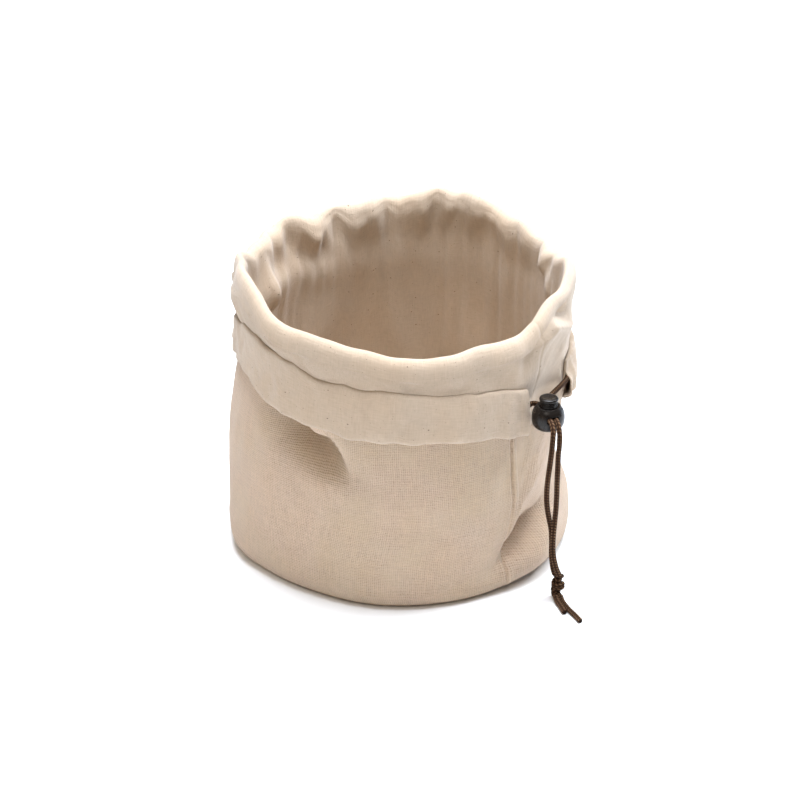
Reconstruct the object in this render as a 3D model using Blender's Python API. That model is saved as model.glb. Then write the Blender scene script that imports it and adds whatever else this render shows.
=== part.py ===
"""Linen bread bag: a round drawstring bag that stands open, its cotton top turned out as a cuff.

The frame is in metres with +Z up. The origin is on the resting surface at the middle of the base,
and the front of the bag faces -Y. A turn is an angle round the bag in degrees, counted from the
front towards +X. Cloth is a sheet on its middle face, thickened to both sides.
"""
from collections import namedtuple
from math import cos, exp, floor, pi, radians, sin

import bmesh
import bpy
from mathutils import Vector

# Cloth
WALL_THICKNESS = 0.0015
LINING_THICKNESS = 0.0010
CASING_THICKNESS = 0.0010
CLEARANCE = 0.0004
COLUMNS = 50
PROBE = 0.001
PROBE_TURN = 0.6

# Base: the middle faces of the hem and of the lining's foot as (inset, height), from the inside
CORNER_HEIGHT = 0.008
HEM_WIDTH = 0.0075
HEM_PROFILE = ((HEM_WIDTH, WALL_THICKNESS / 2), (0.0045, WALL_THICKNESS / 2),
               (0.0020, 0.0019), (0.0010, 0.0043))
LINING_FOOT_PROFILE = ((0.0070, 0.0038), (0.0042, 0.0051))
BASE_CLEARANCE = 0.0003
LINING_BASE_INSET = 0.0060

# Rim: the lining rolls over it with some air inside
ROLL_HALF_WIDTH = 0.0034
ROLL_HEIGHT = 0.0050
ROLL_ANGLES = (0, 50, 90, 130, 180)
WALL_TOP_BELOW_CROWN = 0.0065
BLEND_START = 0.130
BLEND_END_BELOW_CROWN = 0.012

# Drawstring casing: it ends on both sides of the toggle, on columns of the cloth
CASING_LEFT_END = 42.5
GAP_COLUMNS = 4
CASING_BULGE = 0.0058

# Cord
CORD_DIAMETER = 0.0030
CORD_OFF_BAND = 0.0034
CORD_JOINT = 0.0003
JOINT_BEHIND_TOGGLE = 0.0096
STRAND_SPACING = 0.0033
STRAND_STEP = 0.0090
BEND_STEP = 0.0022
KNOT_RADIUS = 0.0042
KNOT_HALF_HEIGHT = 0.0064
KNOT_CENTRE = (0.0899, -0.0835, 0.0080)

# Toggle: a spring cord lock whose hole runs outwards, with both strands side by side in it
TOGGLE_PLACE = (0.0814, -0.0775, 0.1069)
TOGGLE_TURN = 15.0
TOGGLE_HOLE_HEIGHT = 0.0086
TOGGLE_RADIUS = 0.0092
BODY_HOLE_WIDTH = 0.0070
BODY_HOLE_TALL = 0.0042
CAVITY_RADIUS = 0.0053
PLUNGER_RADIUS = 0.0050
PLUNGER_HOLE_WIDTH = 0.0069
HOLE_CORNER = 0.0011
BUTTON_TRAVEL = 0.0030
GRIP_CLEARANCE = 0.0003
TOGGLE_SIDES = 28

# The rim and the casing round the bag: a row for every 15 degrees, starting at the front
Rim = namedtuple("Rim", "crown_height crown_radius casing_top casing_foot")
RIM = [
    Rim(0.1580, 0.0940, 0.1410, 0.1100),
    Rim(0.1575, 0.0940, 0.1375, 0.1085),
    Rim(0.1605, 0.0945, 0.1350, 0.1055),
    Rim(0.1590, 0.0935, 0.1295, 0.0995),
    Rim(0.1690, 0.0935, 0.1270, 0.1000),
    Rim(0.1710, 0.0950, 0.1260, 0.1010),
    Rim(0.1730, 0.0950, 0.1270, 0.1025),
    Rim(0.1660, 0.0950, 0.1310, 0.1040),
    Rim(0.1665, 0.0960, 0.1365, 0.1070),
    Rim(0.1700, 0.0970, 0.1420, 0.1110),
    Rim(0.1770, 0.0970, 0.1470, 0.1160),
    Rim(0.1780, 0.0970, 0.1505, 0.1190),
    Rim(0.1720, 0.0970, 0.1510, 0.1200),
    Rim(0.1700, 0.0970, 0.1490, 0.1190),
    Rim(0.1670, 0.0970, 0.1470, 0.1180),
    Rim(0.1695, 0.0960, 0.1450, 0.1170),
    Rim(0.1660, 0.0950, 0.1440, 0.1180),
    Rim(0.1680, 0.0925, 0.1430, 0.1190),
    Rim(0.1750, 0.0905, 0.1430, 0.1210),
    Rim(0.1800, 0.0910, 0.1490, 0.1230),
    Rim(0.1780, 0.0930, 0.1540, 0.1220),
    Rim(0.1675, 0.0940, 0.1510, 0.1155),
    Rim(0.1660, 0.0945, 0.1460, 0.1140),
    Rim(0.1630, 0.0945, 0.1420, 0.1110),
]

# The outer radius of the wall in four directions: a row for every SECTION_STEP of height
SECTION_STEP = 0.022
Section = namedtuple("Section", "front right back left")
SECTIONS = [
    Section(0.0980, 0.1010, 0.1000, 0.1030),
    Section(0.0980, 0.1015, 0.1000, 0.1015),
    Section(0.0980, 0.1010, 0.1000, 0.1015),
    Section(0.0980, 0.0990, 0.0995, 0.1010),
    Section(0.0975, 0.0975, 0.0985, 0.0985),
    Section(0.0970, 0.0960, 0.0973, 0.0945),
    Section(0.0963, 0.0950, 0.0960, 0.0890),
    Section(0.0950, 0.0950, 0.0970, 0.0900),
]

# Folds. A fold lies along a line through (turn, height) that leans from upright towards larger
# turns. It reaches so far along its line, and left and right of it, and it goes in by its depth.
Fold = namedtuple("Fold", "turn height lean reach left right depth")
WALL_FOLDS = [
    Fold(-35.0, 0.098, 113.0, 0.026, 0.009, 0.024, 0.0100),   # scoop under the cuff, front left
    Fold(49.0, 0.0290, 65.0, 0.026, 0.020, 0.009, 0.0080),    # trough beside the upright seam
    Fold(88.0, 0.0460, 90.0, 0.046, 0.036, 0.014, 0.0120),    # slack waist on the right
    Fold(-68.0, 0.0060, 0.0, 0.022, 0.020, 0.018, -0.0030),   # base pushed out, left
    Fold(-32.0, 0.0150, 0.0, 0.050, 0.026, 0.026, 0.0022),    # base drawn in, front left
    Fold(150.0, 0.0620, 20.0, 0.040, 0.016, 0.022, 0.0045),   # upright fold at the back
    Fold(215.0, 0.0800, 160.0, 0.034, 0.018, 0.014, 0.0040),  # second fold at the back
]
GAP_PLEAT = [
    Fold(60.0, 0.1140, 60.0, 0.025, 0.017, 0.014, 0.0070),    # cuff drawn in behind the toggle
]
BAND_FOLDS = [
    Fold(-84.0, 0.1590, 90.0, 0.020, 0.007, 0.007, -0.0028),  # ridge round the cuff, left
]

# Where the rings of the cloth lie: as shares of the way up to the casing, and of the casing
LOWER_SHARES = (0.0, 0.13, 0.27, 0.41, 0.55, 0.69, 0.84)
CASING_SHARES = (0.10, 0.36, 0.64, 0.92)
LEVELS = len(LOWER_SHARES) + len(CASING_SHARES) + 1
# The casing's cross-section: distance off the band, and share of the casing's height
CASING_OUTLINE = (
    (0.0010, 0.10), (0.0010, 0.36), (0.0010, 0.64), (0.0010, 0.92), (0.0022, 1.00),
    (0.0046, 0.82), (CASING_BULGE, 0.50), (0.0046, 0.18), (0.0022, 0.00),
)

# Routes of the cord, chosen by hand. In the gap it runs from the casing's ends to the toggle.
GAP_ROUTE_LEFT = (
    (0.0698, -0.0706, 0.1153), (0.0714, -0.0669, 0.1154), (0.0730, -0.0654, 0.1155),
    (0.0749, -0.0652, 0.1155), (0.0762, -0.0659, 0.1155),
)
GAP_ROUTE_RIGHT = (
    (0.0899, -0.0432, 0.1146), (0.0849, -0.0530, 0.1149), (0.0812, -0.0595, 0.1152),
    (0.0799, -0.0632, 0.1154),
)
# The strands from the toggle's mouth to the top of the knot
LEFT_STRAND = (
    (0.0829, -0.0896, 0.1149), (0.0833, -0.0918, 0.1129), (0.0833, -0.0930, 0.1095),
    (0.0830, -0.0932, 0.1040), (0.0825, -0.0926, 0.0960), (0.0813, -0.0909, 0.0800),
    (0.0812, -0.0897, 0.0700), (0.0818, -0.0884, 0.0620), (0.0832, -0.0868, 0.0540),
    (0.0847, -0.0855, 0.0460), (0.0853, -0.0845, 0.0370), (0.0855, -0.0838, 0.0290),
    (0.0864, -0.0829, 0.0210), (0.0878, -0.0829, 0.0148),
)
RIGHT_STRAND = (
    (0.0861, -0.0887, 0.1149), (0.0866, -0.0909, 0.1129), (0.0869, -0.0922, 0.1095),
    (0.0869, -0.0925, 0.1040), (0.0866, -0.0920, 0.0960), (0.0866, -0.0906, 0.0800),
    (0.0867, -0.0898, 0.0700), (0.0866, -0.0894, 0.0620), (0.0862, -0.0891, 0.0540),
    (0.0858, -0.0889, 0.0460), (0.0858, -0.0881, 0.0370), (0.0865, -0.0873, 0.0290),
    (0.0884, -0.0861, 0.0210), (0.0907, -0.0848, 0.0148),
)
LONG_TAIL = (
    (0.0914, -0.0869, 0.0034), (0.0925, -0.0902, 0.0018), (0.0941, -0.0938, 0.0015),
    (0.0964, -0.0988, 0.0015), (0.0987, -0.1042, 0.0015), (0.1011, -0.1103, 0.0015),
)
SHORT_TAIL = (
    (0.0880, -0.0874, 0.0034), (0.0888, -0.0908, 0.0018), (0.0905, -0.0952, 0.0015),
    (0.0928, -0.1018, 0.0015),
)

Material = namedtuple("Material", "name colour roughness")
LINEN = Material("linen", (0.60, 0.49, 0.38), 0.9)
COTTON = Material("cotton", (0.74, 0.65, 0.54), 0.85)
BRAID = Material("braid", (0.05, 0.03, 0.02), 0.7)
PLASTIC = Material("plastic", (0.012, 0.010, 0.009), 0.35)


def clear_scene():
    """Remove every object, so that only the bag is built."""
    for thing in list(bpy.data.objects):
        bpy.data.objects.remove(thing, do_unlink=True)


def principled(name, finish):
    """Make a plain material of its own for one piece."""
    material = bpy.data.materials.new(name)
    material.use_nodes = True
    shader = material.node_tree.nodes["Principled BSDF"]
    shader.inputs["Base Color"].default_value = (*finish.colour, 1.0)
    shader.inputs["Roughness"].default_value = finish.roughness
    shader.inputs["Metallic"].default_value = 0.0
    return material


def add_object(name, data, finish):
    """Link new data to the scene as one named piece with its material."""
    piece = bpy.data.objects.new(name, data)
    data.materials.append(principled(f"{name}_{finish.name}", finish))
    bpy.context.scene.collection.objects.link(piece)
    return piece


# Shape of the bag ---------------------------------------------------------------------------------

def cubic(before, start, end, after, share):
    """Value between start and end on a smooth curve that also heeds the values on both sides."""
    leave = (end - before) / 2
    arrive = (after - start) / 2
    bend = 3 * (end - start) - 2 * leave - arrive
    close = leave + arrive - 2 * (end - start)
    return start + share * (leave + share * (bend + share * close))


def round_the_bag(values, turn):
    """Value at a turn, from values spaced evenly round the bag from the front."""
    place = turn / 360 * len(values)
    first = floor(place)
    near = [values[(first + step) % len(values)] for step in (-1, 0, 1, 2)]
    return cubic(*near, place - first)


def rim(column, turn):
    """One column of the rim table at a turn."""
    return round_the_bag([getattr(row, column) for row in RIM], turn)


def section_radius(turn, height):
    """Outer radius of the wall from the section table, without folds."""
    last = len(SECTIONS) - 1
    place = min(max(height / SECTION_STEP, 0.0), last - 0.001)
    first = floor(place)
    rows = [SECTIONS[min(max(first + step, 0), last)] for step in (-1, 0, 1, 2)]
    return round_the_bag([cubic(*column, place - first) for column in zip(*rows)], turn)


def ease(share):
    """Go smoothly from 0 to 1."""
    share = min(max(share, 0.0), 1.0)
    return share * share * (3 - 2 * share)


def outer_radius(turn, height):
    """Outer radius of the wall without folds: near the rim it follows the crown."""
    crown = rim("crown_radius", turn) + WALL_THICKNESS / 2
    end = rim("crown_height", turn) - BLEND_END_BELOW_CROWN
    share = ease((height - BLEND_START) / (end - BLEND_START))
    return section_radius(turn, height) * (1 - share) + crown * share


def fold_depth(folds, turn, height):
    """How far the folds push the cloth in at a place."""
    depth = 0.0
    for fold in folds:
        across = radians((turn - fold.turn + 180) % 360 - 180) * SECTIONS[0].front
        up = height - fold.height
        lean = radians(fold.lean)
        along = across * sin(lean) + up * cos(lean)
        aside = across * cos(lean) - up * sin(lean)
        width = fold.left if aside < 0 else fold.right
        depth += fold.depth * exp(-((along / fold.reach) ** 2) - (aside / width) ** 2)
    return depth


def wall_radius(turn, height):
    """Outer radius of the folded wall."""
    return outer_radius(turn, height) - fold_depth(WALL_FOLDS + GAP_PLEAT, turn, height)


def cuff_radius(turn, height):
    """Outer radius of what the cuff band lies on: the wall without the folds below the cuff."""
    return outer_radius(turn, height) - fold_depth(GAP_PLEAT, turn, height)


def at(turn, radius, height):
    """Point at a turn, radius and height."""
    angle = radians(turn)
    return Vector((radius * sin(angle), -radius * cos(angle), height))


# Sheets -------------------------------------------------------------------------------------------

def column_turn(column):
    """Turn of a column of the cloth: the casing's left end is on one."""
    return CASING_LEFT_END + column * 360 / COLUMNS


def ring(place):
    """Closed ring of points, from a function that gives the point at a turn."""
    return [place(column_turn(column)) for column in range(COLUMNS)]


def add_loop(shape, points):
    """Add a closed loop of edges through the points."""
    corners = [shape.verts.new(point) for point in points]
    return [shape.edges.new((a, b)) for a, b in zip(corners, corners[1:] + corners[:1])]


def climb(start, end):
    """Positive between two corners that rise together with the turn."""
    return (start.co.x * end.co.y - start.co.y * end.co.x) * (end.co.z - start.co.z)


def join(shape, first, second):
    """Join two loops of corners. The diagonals lean alike in all sheets, so layers stay apart."""
    for a, b, c, d in zip(first, first[1:] + first[:1], second[1:] + second[:1], second):
        if climb(a, c) > climb(b, d):
            triangles = ((a, b, c), (a, c, d))
        else:
            triangles = ((a, b, d), (b, c, d))
        for corners in triangles:
            shape.faces.new(corners)


def sheet(name, loops, thickness, finish):
    """Join loops of points into a sheet and thicken it to both sides."""
    shape = bmesh.new()
    rows = [[shape.verts.new(point) for point in points] for points in loops]
    for first, second in zip(rows, rows[1:]):
        join(shape, first, second)
    bmesh.ops.recalc_face_normals(shape, faces=shape.faces)
    mesh = bpy.data.meshes.new(name)
    shape.to_mesh(mesh)
    shape.free()
    mesh.shade_smooth()
    piece = add_object(name, mesh, finish)
    solid = piece.modifiers.new("Thickness", "SOLIDIFY")
    solid.thickness = thickness
    solid.offset = 0.0
    return piece


def wall_heights(turn):
    """Heights of the wall's rings, from the corner of the base to the wall's top edge."""
    foot, top = rim("casing_foot", turn), rim("casing_top", turn)
    lower = [CORNER_HEIGHT + share * (foot - CORNER_HEIGHT) for share in LOWER_SHARES]
    upper = [foot + share * (top - foot) for share in CASING_SHARES]
    return lower + upper + [rim("crown_height", turn) - WALL_TOP_BELOW_CROWN]


def skin_point(radius_at, turn, height, inset):
    """Point that lies inset under a folded face, square to it."""
    here = at(turn, radius_at(turn, height), height)
    above = at(turn, radius_at(turn, height + PROBE), height + PROBE)
    beside = at(turn + PROBE_TURN, radius_at(turn + PROBE_TURN, height), height)
    outward = (beside - here).cross(above - here).normalized()
    return here - outward * inset


def wall_rings(count, inset):
    """The wall's lowest rings of points, inset under its outer face."""
    return [ring(lambda turn, level=level: skin_point(
        wall_radius, turn, wall_heights(turn)[level], inset)) for level in range(count)]


def foot_point(turn, inset, height):
    """Point that lies inset from the wall's outer face at the corner of the base."""
    return at(turn, wall_radius(turn, CORNER_HEIGHT) - inset, height)


def foot_rings(profile):
    """Rings of points round the corner of the base, from (inset, height) rows."""
    return [ring(lambda turn, row=row: foot_point(turn, *row)) for row in profile]


def build_outer_wall():
    """The linen wall: a hem turned in under the bag, a soft corner, and up to inside the rim."""
    half = WALL_THICKNESS / 2
    loops = foot_rings(HEM_PROFILE) + wall_rings(LEVELS, half)
    return sheet("outer_wall", loops, WALL_THICKNESS, LINEN)


def roll_point(turn, angle):
    """Point on the lining's roll over the rim: angle 0 is inside the bag, 180 outside."""
    crown = rim("crown_height", turn) - LINING_THICKNESS / 2
    radius = rim("crown_radius", turn) - ROLL_HALF_WIDTH * cos(radians(angle))
    return at(turn, radius, crown - ROLL_HEIGHT * (1 - sin(radians(angle))))


def band_point(turn, share):
    """Point of the cuff band's middle face, at a share of the way from the casing to the roll."""
    low = rim("casing_top", turn)
    high = rim("crown_height", turn) - LINING_THICKNESS / 2 - ROLL_HEIGHT
    height = low + share * (high - low)
    lying = cuff_radius(turn, height) + CLEARANCE + LINING_THICKNESS / 2
    rolled = rim("crown_radius", turn) + ROLL_HALF_WIDTH
    radius = lying + (rolled - lying) * ease(share)
    return at(turn, radius - fold_depth(BAND_FOLDS, turn, height), height)


def tucked_point(turn, share):
    """Point of the band behind the casing, at a share of the casing's height."""
    low = rim("casing_foot", turn)
    height = low + share * (rim("casing_top", turn) - low)
    return skin_point(cuff_radius, turn, height, -CLEARANCE - LINING_THICKNESS / 2)


def build_lining():
    """The cotton lining: up the inside, over the rim and down outside as the cuff."""
    inset = WALL_THICKNESS + CLEARANCE + LINING_THICKNESS / 2
    loops = foot_rings(LINING_FOOT_PROFILE) + wall_rings(LEVELS - 1, inset)
    for angle in ROLL_ANGLES:
        loops.append(ring(lambda turn, angle=angle: roll_point(turn, angle)))
    loops.append(ring(lambda turn: band_point(turn, 0.5)))
    for share in reversed(CASING_SHARES):
        loops.append(ring(lambda turn, share=share: tucked_point(turn, share)))
    return sheet("lining", loops, LINING_THICKNESS, COTTON)


def casing_loop(turn):
    """The casing's cross-section at a turn."""
    low = rim("casing_foot", turn)
    tall = rim("casing_top", turn) - low
    places = [(off, low + share * tall) for off, share in CASING_OUTLINE]
    flat = {height: outer_radius(turn, height) + CLEARANCE + LINING_THICKNESS
            for _, height in places}
    return [at(turn, flat[height] + off, height) for off, height in places]


def casing_columns():
    """Columns that the casing covers, from the gap's right side round the back to its left."""
    return range(GAP_COLUMNS, COLUMNS + 1)


def build_casing():
    """The drawstring casing: a flat tunnel of cotton with two open ends."""
    loops = [casing_loop(column_turn(column)) for column in casing_columns()]
    return sheet("casing", loops, CASING_THICKNESS, COTTON)


def disc(name, inset, low, high, finish):
    """Flat round of cloth that follows the foot of the wall."""
    shape = bmesh.new()
    edges = add_loop(shape, ring(lambda turn: foot_point(turn, inset, low)))
    bmesh.ops.edgeloop_fill(shape, edges=edges)
    grown = bmesh.ops.extrude_face_region(shape, geom=shape.faces[:])
    corners = [part for part in grown["geom"] if isinstance(part, bmesh.types.BMVert)]
    bmesh.ops.translate(shape, verts=corners, vec=(0.0, 0.0, high - low))
    bmesh.ops.recalc_face_normals(shape, faces=shape.faces)
    mesh = bpy.data.meshes.new(name)
    shape.to_mesh(mesh)
    shape.free()
    return add_object(name, mesh, finish)


def build_bases():
    """The outer base inside the wall's hem, and the lining's base above it."""
    disc("outer_base", HEM_WIDTH + BASE_CLEARANCE, 0.0, WALL_THICKNESS, LINEN)
    low = WALL_THICKNESS + CLEARANCE
    disc("lining_base", LINING_BASE_INSET, low, low + LINING_THICKNESS, COTTON)


# Cord ---------------------------------------------------------------------------------------------

def smooth_route(points, step):
    """Points about a step apart on a smooth curve through the points of a route."""
    points = [Vector(point) for point in points]
    padded = [2 * points[0] - points[1], *points, 2 * points[-1] - points[-2]]
    route = [points[0]]
    for before, start, end, after in zip(padded, padded[1:], padded[2:], padded[3:]):
        pieces = max(1, round((end - start).length / step))
        for piece in range(1, pieces + 1):
            share = piece / pieces
            route.append(Vector(cubic(*values, share)
                                for values in zip(before, start, end, after)))
    return route


def cord(name, route):
    """Round cord along a route, with closed ends."""
    curve = bpy.data.curves.new(name, "CURVE")
    curve.dimensions = "3D"
    curve.bevel_depth = CORD_DIAMETER / 2
    curve.bevel_resolution = 2
    curve.use_fill_caps = True
    spline = curve.splines.new("POLY")
    spline.points.add(len(route) - 1)
    for point, place in zip(spline.points, route):
        point.co = (*place, 1.0)
    spline.use_smooth = True
    return add_object(name, curve, BRAID)


def toggle_axes():
    """The toggle's middle at the height of its hole, the way out along the hole, and sideways."""
    angle = radians(TOGGLE_TURN)
    middle = Vector(TOGGLE_PLACE) + Vector((0.0, 0.0, TOGGLE_HOLE_HEIGHT))
    return middle, Vector((sin(angle), -cos(angle), 0.0)), Vector((cos(angle), sin(angle), 0.0))


def mouth(side, along):
    """Point of a strand in the toggle's hole: side -1 is the left strand, 1 the right."""
    middle, outward, sideways = toggle_axes()
    return middle + outward * along + sideways * (side * STRAND_SPACING / 2)


def build_held_cord():
    """The draw cord, from the toggle's back round through the casing to the toggle again."""
    held = []
    for column in casing_columns():
        turn = column_turn(column)
        height = (rim("casing_foot", turn) + rim("casing_top", turn)) / 2
        radius = outer_radius(turn, height) + CLEARANCE + LINING_THICKNESS + CORD_OFF_BAND
        held.append(at(turn, radius, height))
    near = JOINT_BEHIND_TOGGLE + CORD_JOINT
    away = near + CORD_DIAMETER / 2
    right = smooth_route([mouth(1, -away), *reversed(GAP_ROUTE_RIGHT), held[0]], STRAND_STEP)
    left = smooth_route([held[-1], *GAP_ROUTE_LEFT, mouth(-1, -away)], BEND_STEP)
    return cord("cord_in_casing",
                [mouth(1, -near)] + right[:-1] + held + left[1:] + [mouth(-1, -near)])


def build_free_cords():
    """The two strands, from the toggle's back through its hole down to the knot, and the tails."""
    for name, side, route in (("cord_left", -1, LEFT_STRAND), ("cord_right", 1, RIGHT_STRAND)):
        inside = [mouth(side, along) for along in (-JOINT_BEHIND_TOGGLE, 0.0, TOGGLE_RADIUS)]
        bend = smooth_route([inside[-1], *route[:4]], BEND_STEP)
        hanging = smooth_route(route[3:], STRAND_STEP)
        cord(name, inside + bend[1:] + hanging[1:])
    cord("cord_tail_long", smooth_route(LONG_TAIL, STRAND_STEP))
    cord("cord_tail_short", smooth_route(SHORT_TAIL, STRAND_STEP))


def build_knot():
    """The overhand knot, as one solid with its wraps as ridges that climb round it."""
    ridge, wraps, climb = 0.12, 2, 2.2
    shape = bmesh.new()
    bmesh.ops.create_uvsphere(shape, u_segments=20, v_segments=12, radius=1.0)
    for corner in shape.verts:
        place = corner.co.copy()
        swell = (1 - place.z ** 2) ** 0.5
        winding = Vector((place.x, place.y)).angle_signed(Vector((1.0, 0.0)), 0.0)
        wide = KNOT_RADIUS * (1 + ridge * swell * (cos(wraps * winding + climb * place.z * pi) - 1))
        corner.co = (place.x * wide, place.y * wide, place.z * KNOT_HALF_HEIGHT)
    bmesh.ops.translate(shape, verts=shape.verts, vec=KNOT_CENTRE)
    mesh = bpy.data.meshes.new("cord_knot")
    shape.to_mesh(mesh)
    shape.free()
    mesh.shade_smooth()
    return add_object("cord_knot", mesh, BRAID)


# Toggle -------------------------------------------------------------------------------------------

def turned(name, profile, finish):
    """Turn a closed profile of (radius, height) round the toggle's axis."""
    shape = bmesh.new()
    corners = [shape.verts.new((radius, 0.0, height)) for radius, height in profile]
    edges = [shape.edges.new((a, b)) for a, b in zip(corners, corners[1:])]
    bmesh.ops.spin(shape, geom=corners + edges, cent=(0, 0, 0), axis=(0, 0, 1), angle=2 * pi,
                   steps=TOGGLE_SIDES, use_merge=True)
    bmesh.ops.remove_doubles(shape, verts=shape.verts, dist=0.00001)
    bmesh.ops.recalc_face_normals(shape, faces=shape.faces)
    mesh = bpy.data.meshes.new(name)
    shape.to_mesh(mesh)
    shape.free()
    mesh.shade_smooth()
    mesh.set_sharp_from_angle(angle=radians(40))
    piece = add_object(name, mesh, finish)
    piece.location = TOGGLE_PLACE
    return piece


def slot_cutter(name, wide, tall, middle):
    """Cutter with a rounded oblong outline, along the toggle's hole."""
    arc = 3
    outline = []
    for turn, right, up in ((0, 1, 1), (90, -1, 1), (180, -1, -1), (270, 1, -1)):
        for step in range(arc + 1):
            angle = radians(turn + 90 * step / arc)
            outline.append((right * (wide / 2 - HOLE_CORNER) + HOLE_CORNER * cos(angle),
                            middle + up * (tall / 2 - HOLE_CORNER) + HOLE_CORNER * sin(angle)))
    shape = bmesh.new()
    edges = add_loop(shape, [Vector((x, -2 * TOGGLE_RADIUS, z)) for x, z in outline])
    bmesh.ops.edgeloop_fill(shape, edges=edges)
    grown = bmesh.ops.extrude_face_region(shape, geom=shape.faces[:])
    corners = [part for part in grown["geom"] if isinstance(part, bmesh.types.BMVert)]
    bmesh.ops.translate(shape, verts=corners, vec=(0.0, 4 * TOGGLE_RADIUS, 0.0))
    bmesh.ops.recalc_face_normals(shape, faces=shape.faces)
    mesh = bpy.data.meshes.new(name)
    shape.to_mesh(mesh)
    shape.free()
    cutter = add_object(name, mesh, PLASTIC)
    cutter.location = TOGGLE_PLACE
    cutter.rotation_euler = (0.0, 0.0, radians(TOGGLE_TURN))
    cutter.hide_render = True
    cutter.display_type = "WIRE"
    return cutter


def cut(piece, cutter):
    """Cut one closed shape out of another."""
    boolean = piece.modifiers.new("Hole", "BOOLEAN")
    boolean.operation = "DIFFERENCE"
    boolean.object = cutter


def build_toggle_body():
    """Round barrel with a deep socket for the plunger and a hole for the two strands."""
    floor_height = 0.0020
    profile = [(0.0, 0.0), (0.0046, 0.0), (0.0071, 0.0009), (0.0086, 0.0029),
               (TOGGLE_RADIUS, 0.0058), (0.0091, 0.0088), (0.0083, 0.0115), (0.0071, 0.0133),
               (0.0062, 0.0140), (CAVITY_RADIUS, 0.0140), (CAVITY_RADIUS, floor_height),
               (0.0, floor_height)]
    body = turned("toggle_body", profile, PLASTIC)
    cut(body, slot_cutter("body_hole", BODY_HOLE_WIDTH, BODY_HOLE_TALL, TOGGLE_HOLE_HEIGHT))
    return body


def build_toggle_button():
    """Plunger in the socket: its hole grips the strands from below, and its ribbed top shows."""
    grip = TOGGLE_HOLE_HEIGHT - CORD_DIAMETER / 2 - GRIP_CLEARANCE
    hole_tall = CORD_DIAMETER + 2 * GRIP_CLEARANCE + BUTTON_TRAVEL
    low, radius, groove = grip - 0.0014, PLUNGER_RADIUS, PLUNGER_RADIUS - 0.0004
    profile = [(0.0, low), (radius, low), (radius, 0.0148), (groove, 0.0151), (groove, 0.0155),
               (radius, 0.0158), (radius, 0.0164), (groove, 0.0167), (groove, 0.0171),
               (radius, 0.0174), (radius, 0.0180), (0.0043, 0.0186), (0.0026, 0.0189),
               (0.0, 0.0189)]
    button = turned("toggle_button", profile, PLASTIC)
    cut(button, slot_cutter("button_hole", PLUNGER_HOLE_WIDTH, hole_tall, grip + hole_tall / 2))
    return button


def main():
    """Build the bag, its cord and its toggle."""
    clear_scene()
    build_outer_wall()
    build_bases()
    build_lining()
    build_casing()
    build_held_cord()
    build_free_cords()
    build_knot()
    build_toggle_body()
    build_toggle_button()


main()
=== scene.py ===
"""Linen bread bag, dressed: woven wall, cotton lining turned out as a cuff, cord and toggle.

The frame is that of the solids, in metres: +Z is up and the front of the bag faces -Y. A turn is an
angle round the bag in degrees, counted from the front towards +X. Every cloth is cut flat, with its
threads in a UV map called cloth, and is then laid point by point. Tables of lengths are in
millimetres.
"""
import logging
from dataclasses import dataclass
from enum import Enum
from typing import Any, Callable, Sequence

import bmesh
import bpy
import numpy as np
from mathutils import Matrix, Vector


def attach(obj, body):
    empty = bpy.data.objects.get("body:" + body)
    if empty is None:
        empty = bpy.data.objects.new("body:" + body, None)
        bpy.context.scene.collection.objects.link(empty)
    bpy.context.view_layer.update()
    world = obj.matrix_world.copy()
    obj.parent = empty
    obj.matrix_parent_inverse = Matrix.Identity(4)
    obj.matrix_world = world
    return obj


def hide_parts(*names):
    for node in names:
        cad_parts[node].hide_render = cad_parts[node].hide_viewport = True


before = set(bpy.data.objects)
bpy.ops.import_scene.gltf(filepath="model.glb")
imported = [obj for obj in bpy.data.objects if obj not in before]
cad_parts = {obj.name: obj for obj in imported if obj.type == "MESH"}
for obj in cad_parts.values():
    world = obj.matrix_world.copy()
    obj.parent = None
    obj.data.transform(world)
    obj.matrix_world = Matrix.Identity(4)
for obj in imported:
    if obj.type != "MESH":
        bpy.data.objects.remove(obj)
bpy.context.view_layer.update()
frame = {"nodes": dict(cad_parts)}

log = logging.getLogger("bread_bag")

Grid = np.ndarray
Pair = tuple[float, float]
Place = tuple[float, float, float]
Colour = tuple[float, float, float, float]
Piece = bpy.types.Object
Finish = bpy.types.Material

# Cloths, as the solids have them
WALL_THICKNESS = 0.0015
LINING_THICKNESS = 0.0010
CASING_THICKNESS = 0.0010
CLEARANCE = 0.0004
UNDER_LINING = WALL_THICKNESS + CLEARANCE
CORNER_HEIGHT = 0.008
HEM_WIDTH = 0.0105
WALL_TOP_BELOW_CROWN = 0.0065
BLEND_START = 0.130
BLEND_END_BELOW_CROWN = 0.012
SECTION_STEP = 0.022
WAIST = 0.098
SEW_WITHIN = 0.000005
CASING_TOP_SINKS = 0.0018

# Cord and toggle
CORD_DIAMETER = 0.0030
CORD_OFF_BAND = 0.0023
CORD_JOINT = 0.0003
JOINT_BEHIND_TOGGLE = 0.0096
STRAND_SPACING = 0.0033
CASING_LEFT_END = 42.5
CASING_RIGHT_END = 71.3
TOGGLE_PLACE = (0.0814, -0.0775, 0.1069)
TOGGLE_TURN = 15.0
TOGGLE_HOLE_HEIGHT = 0.0086
TOGGLE_RADIUS = 0.0092
KNOT_CENTRE = (0.0899, -0.0835, 0.0080)

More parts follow.
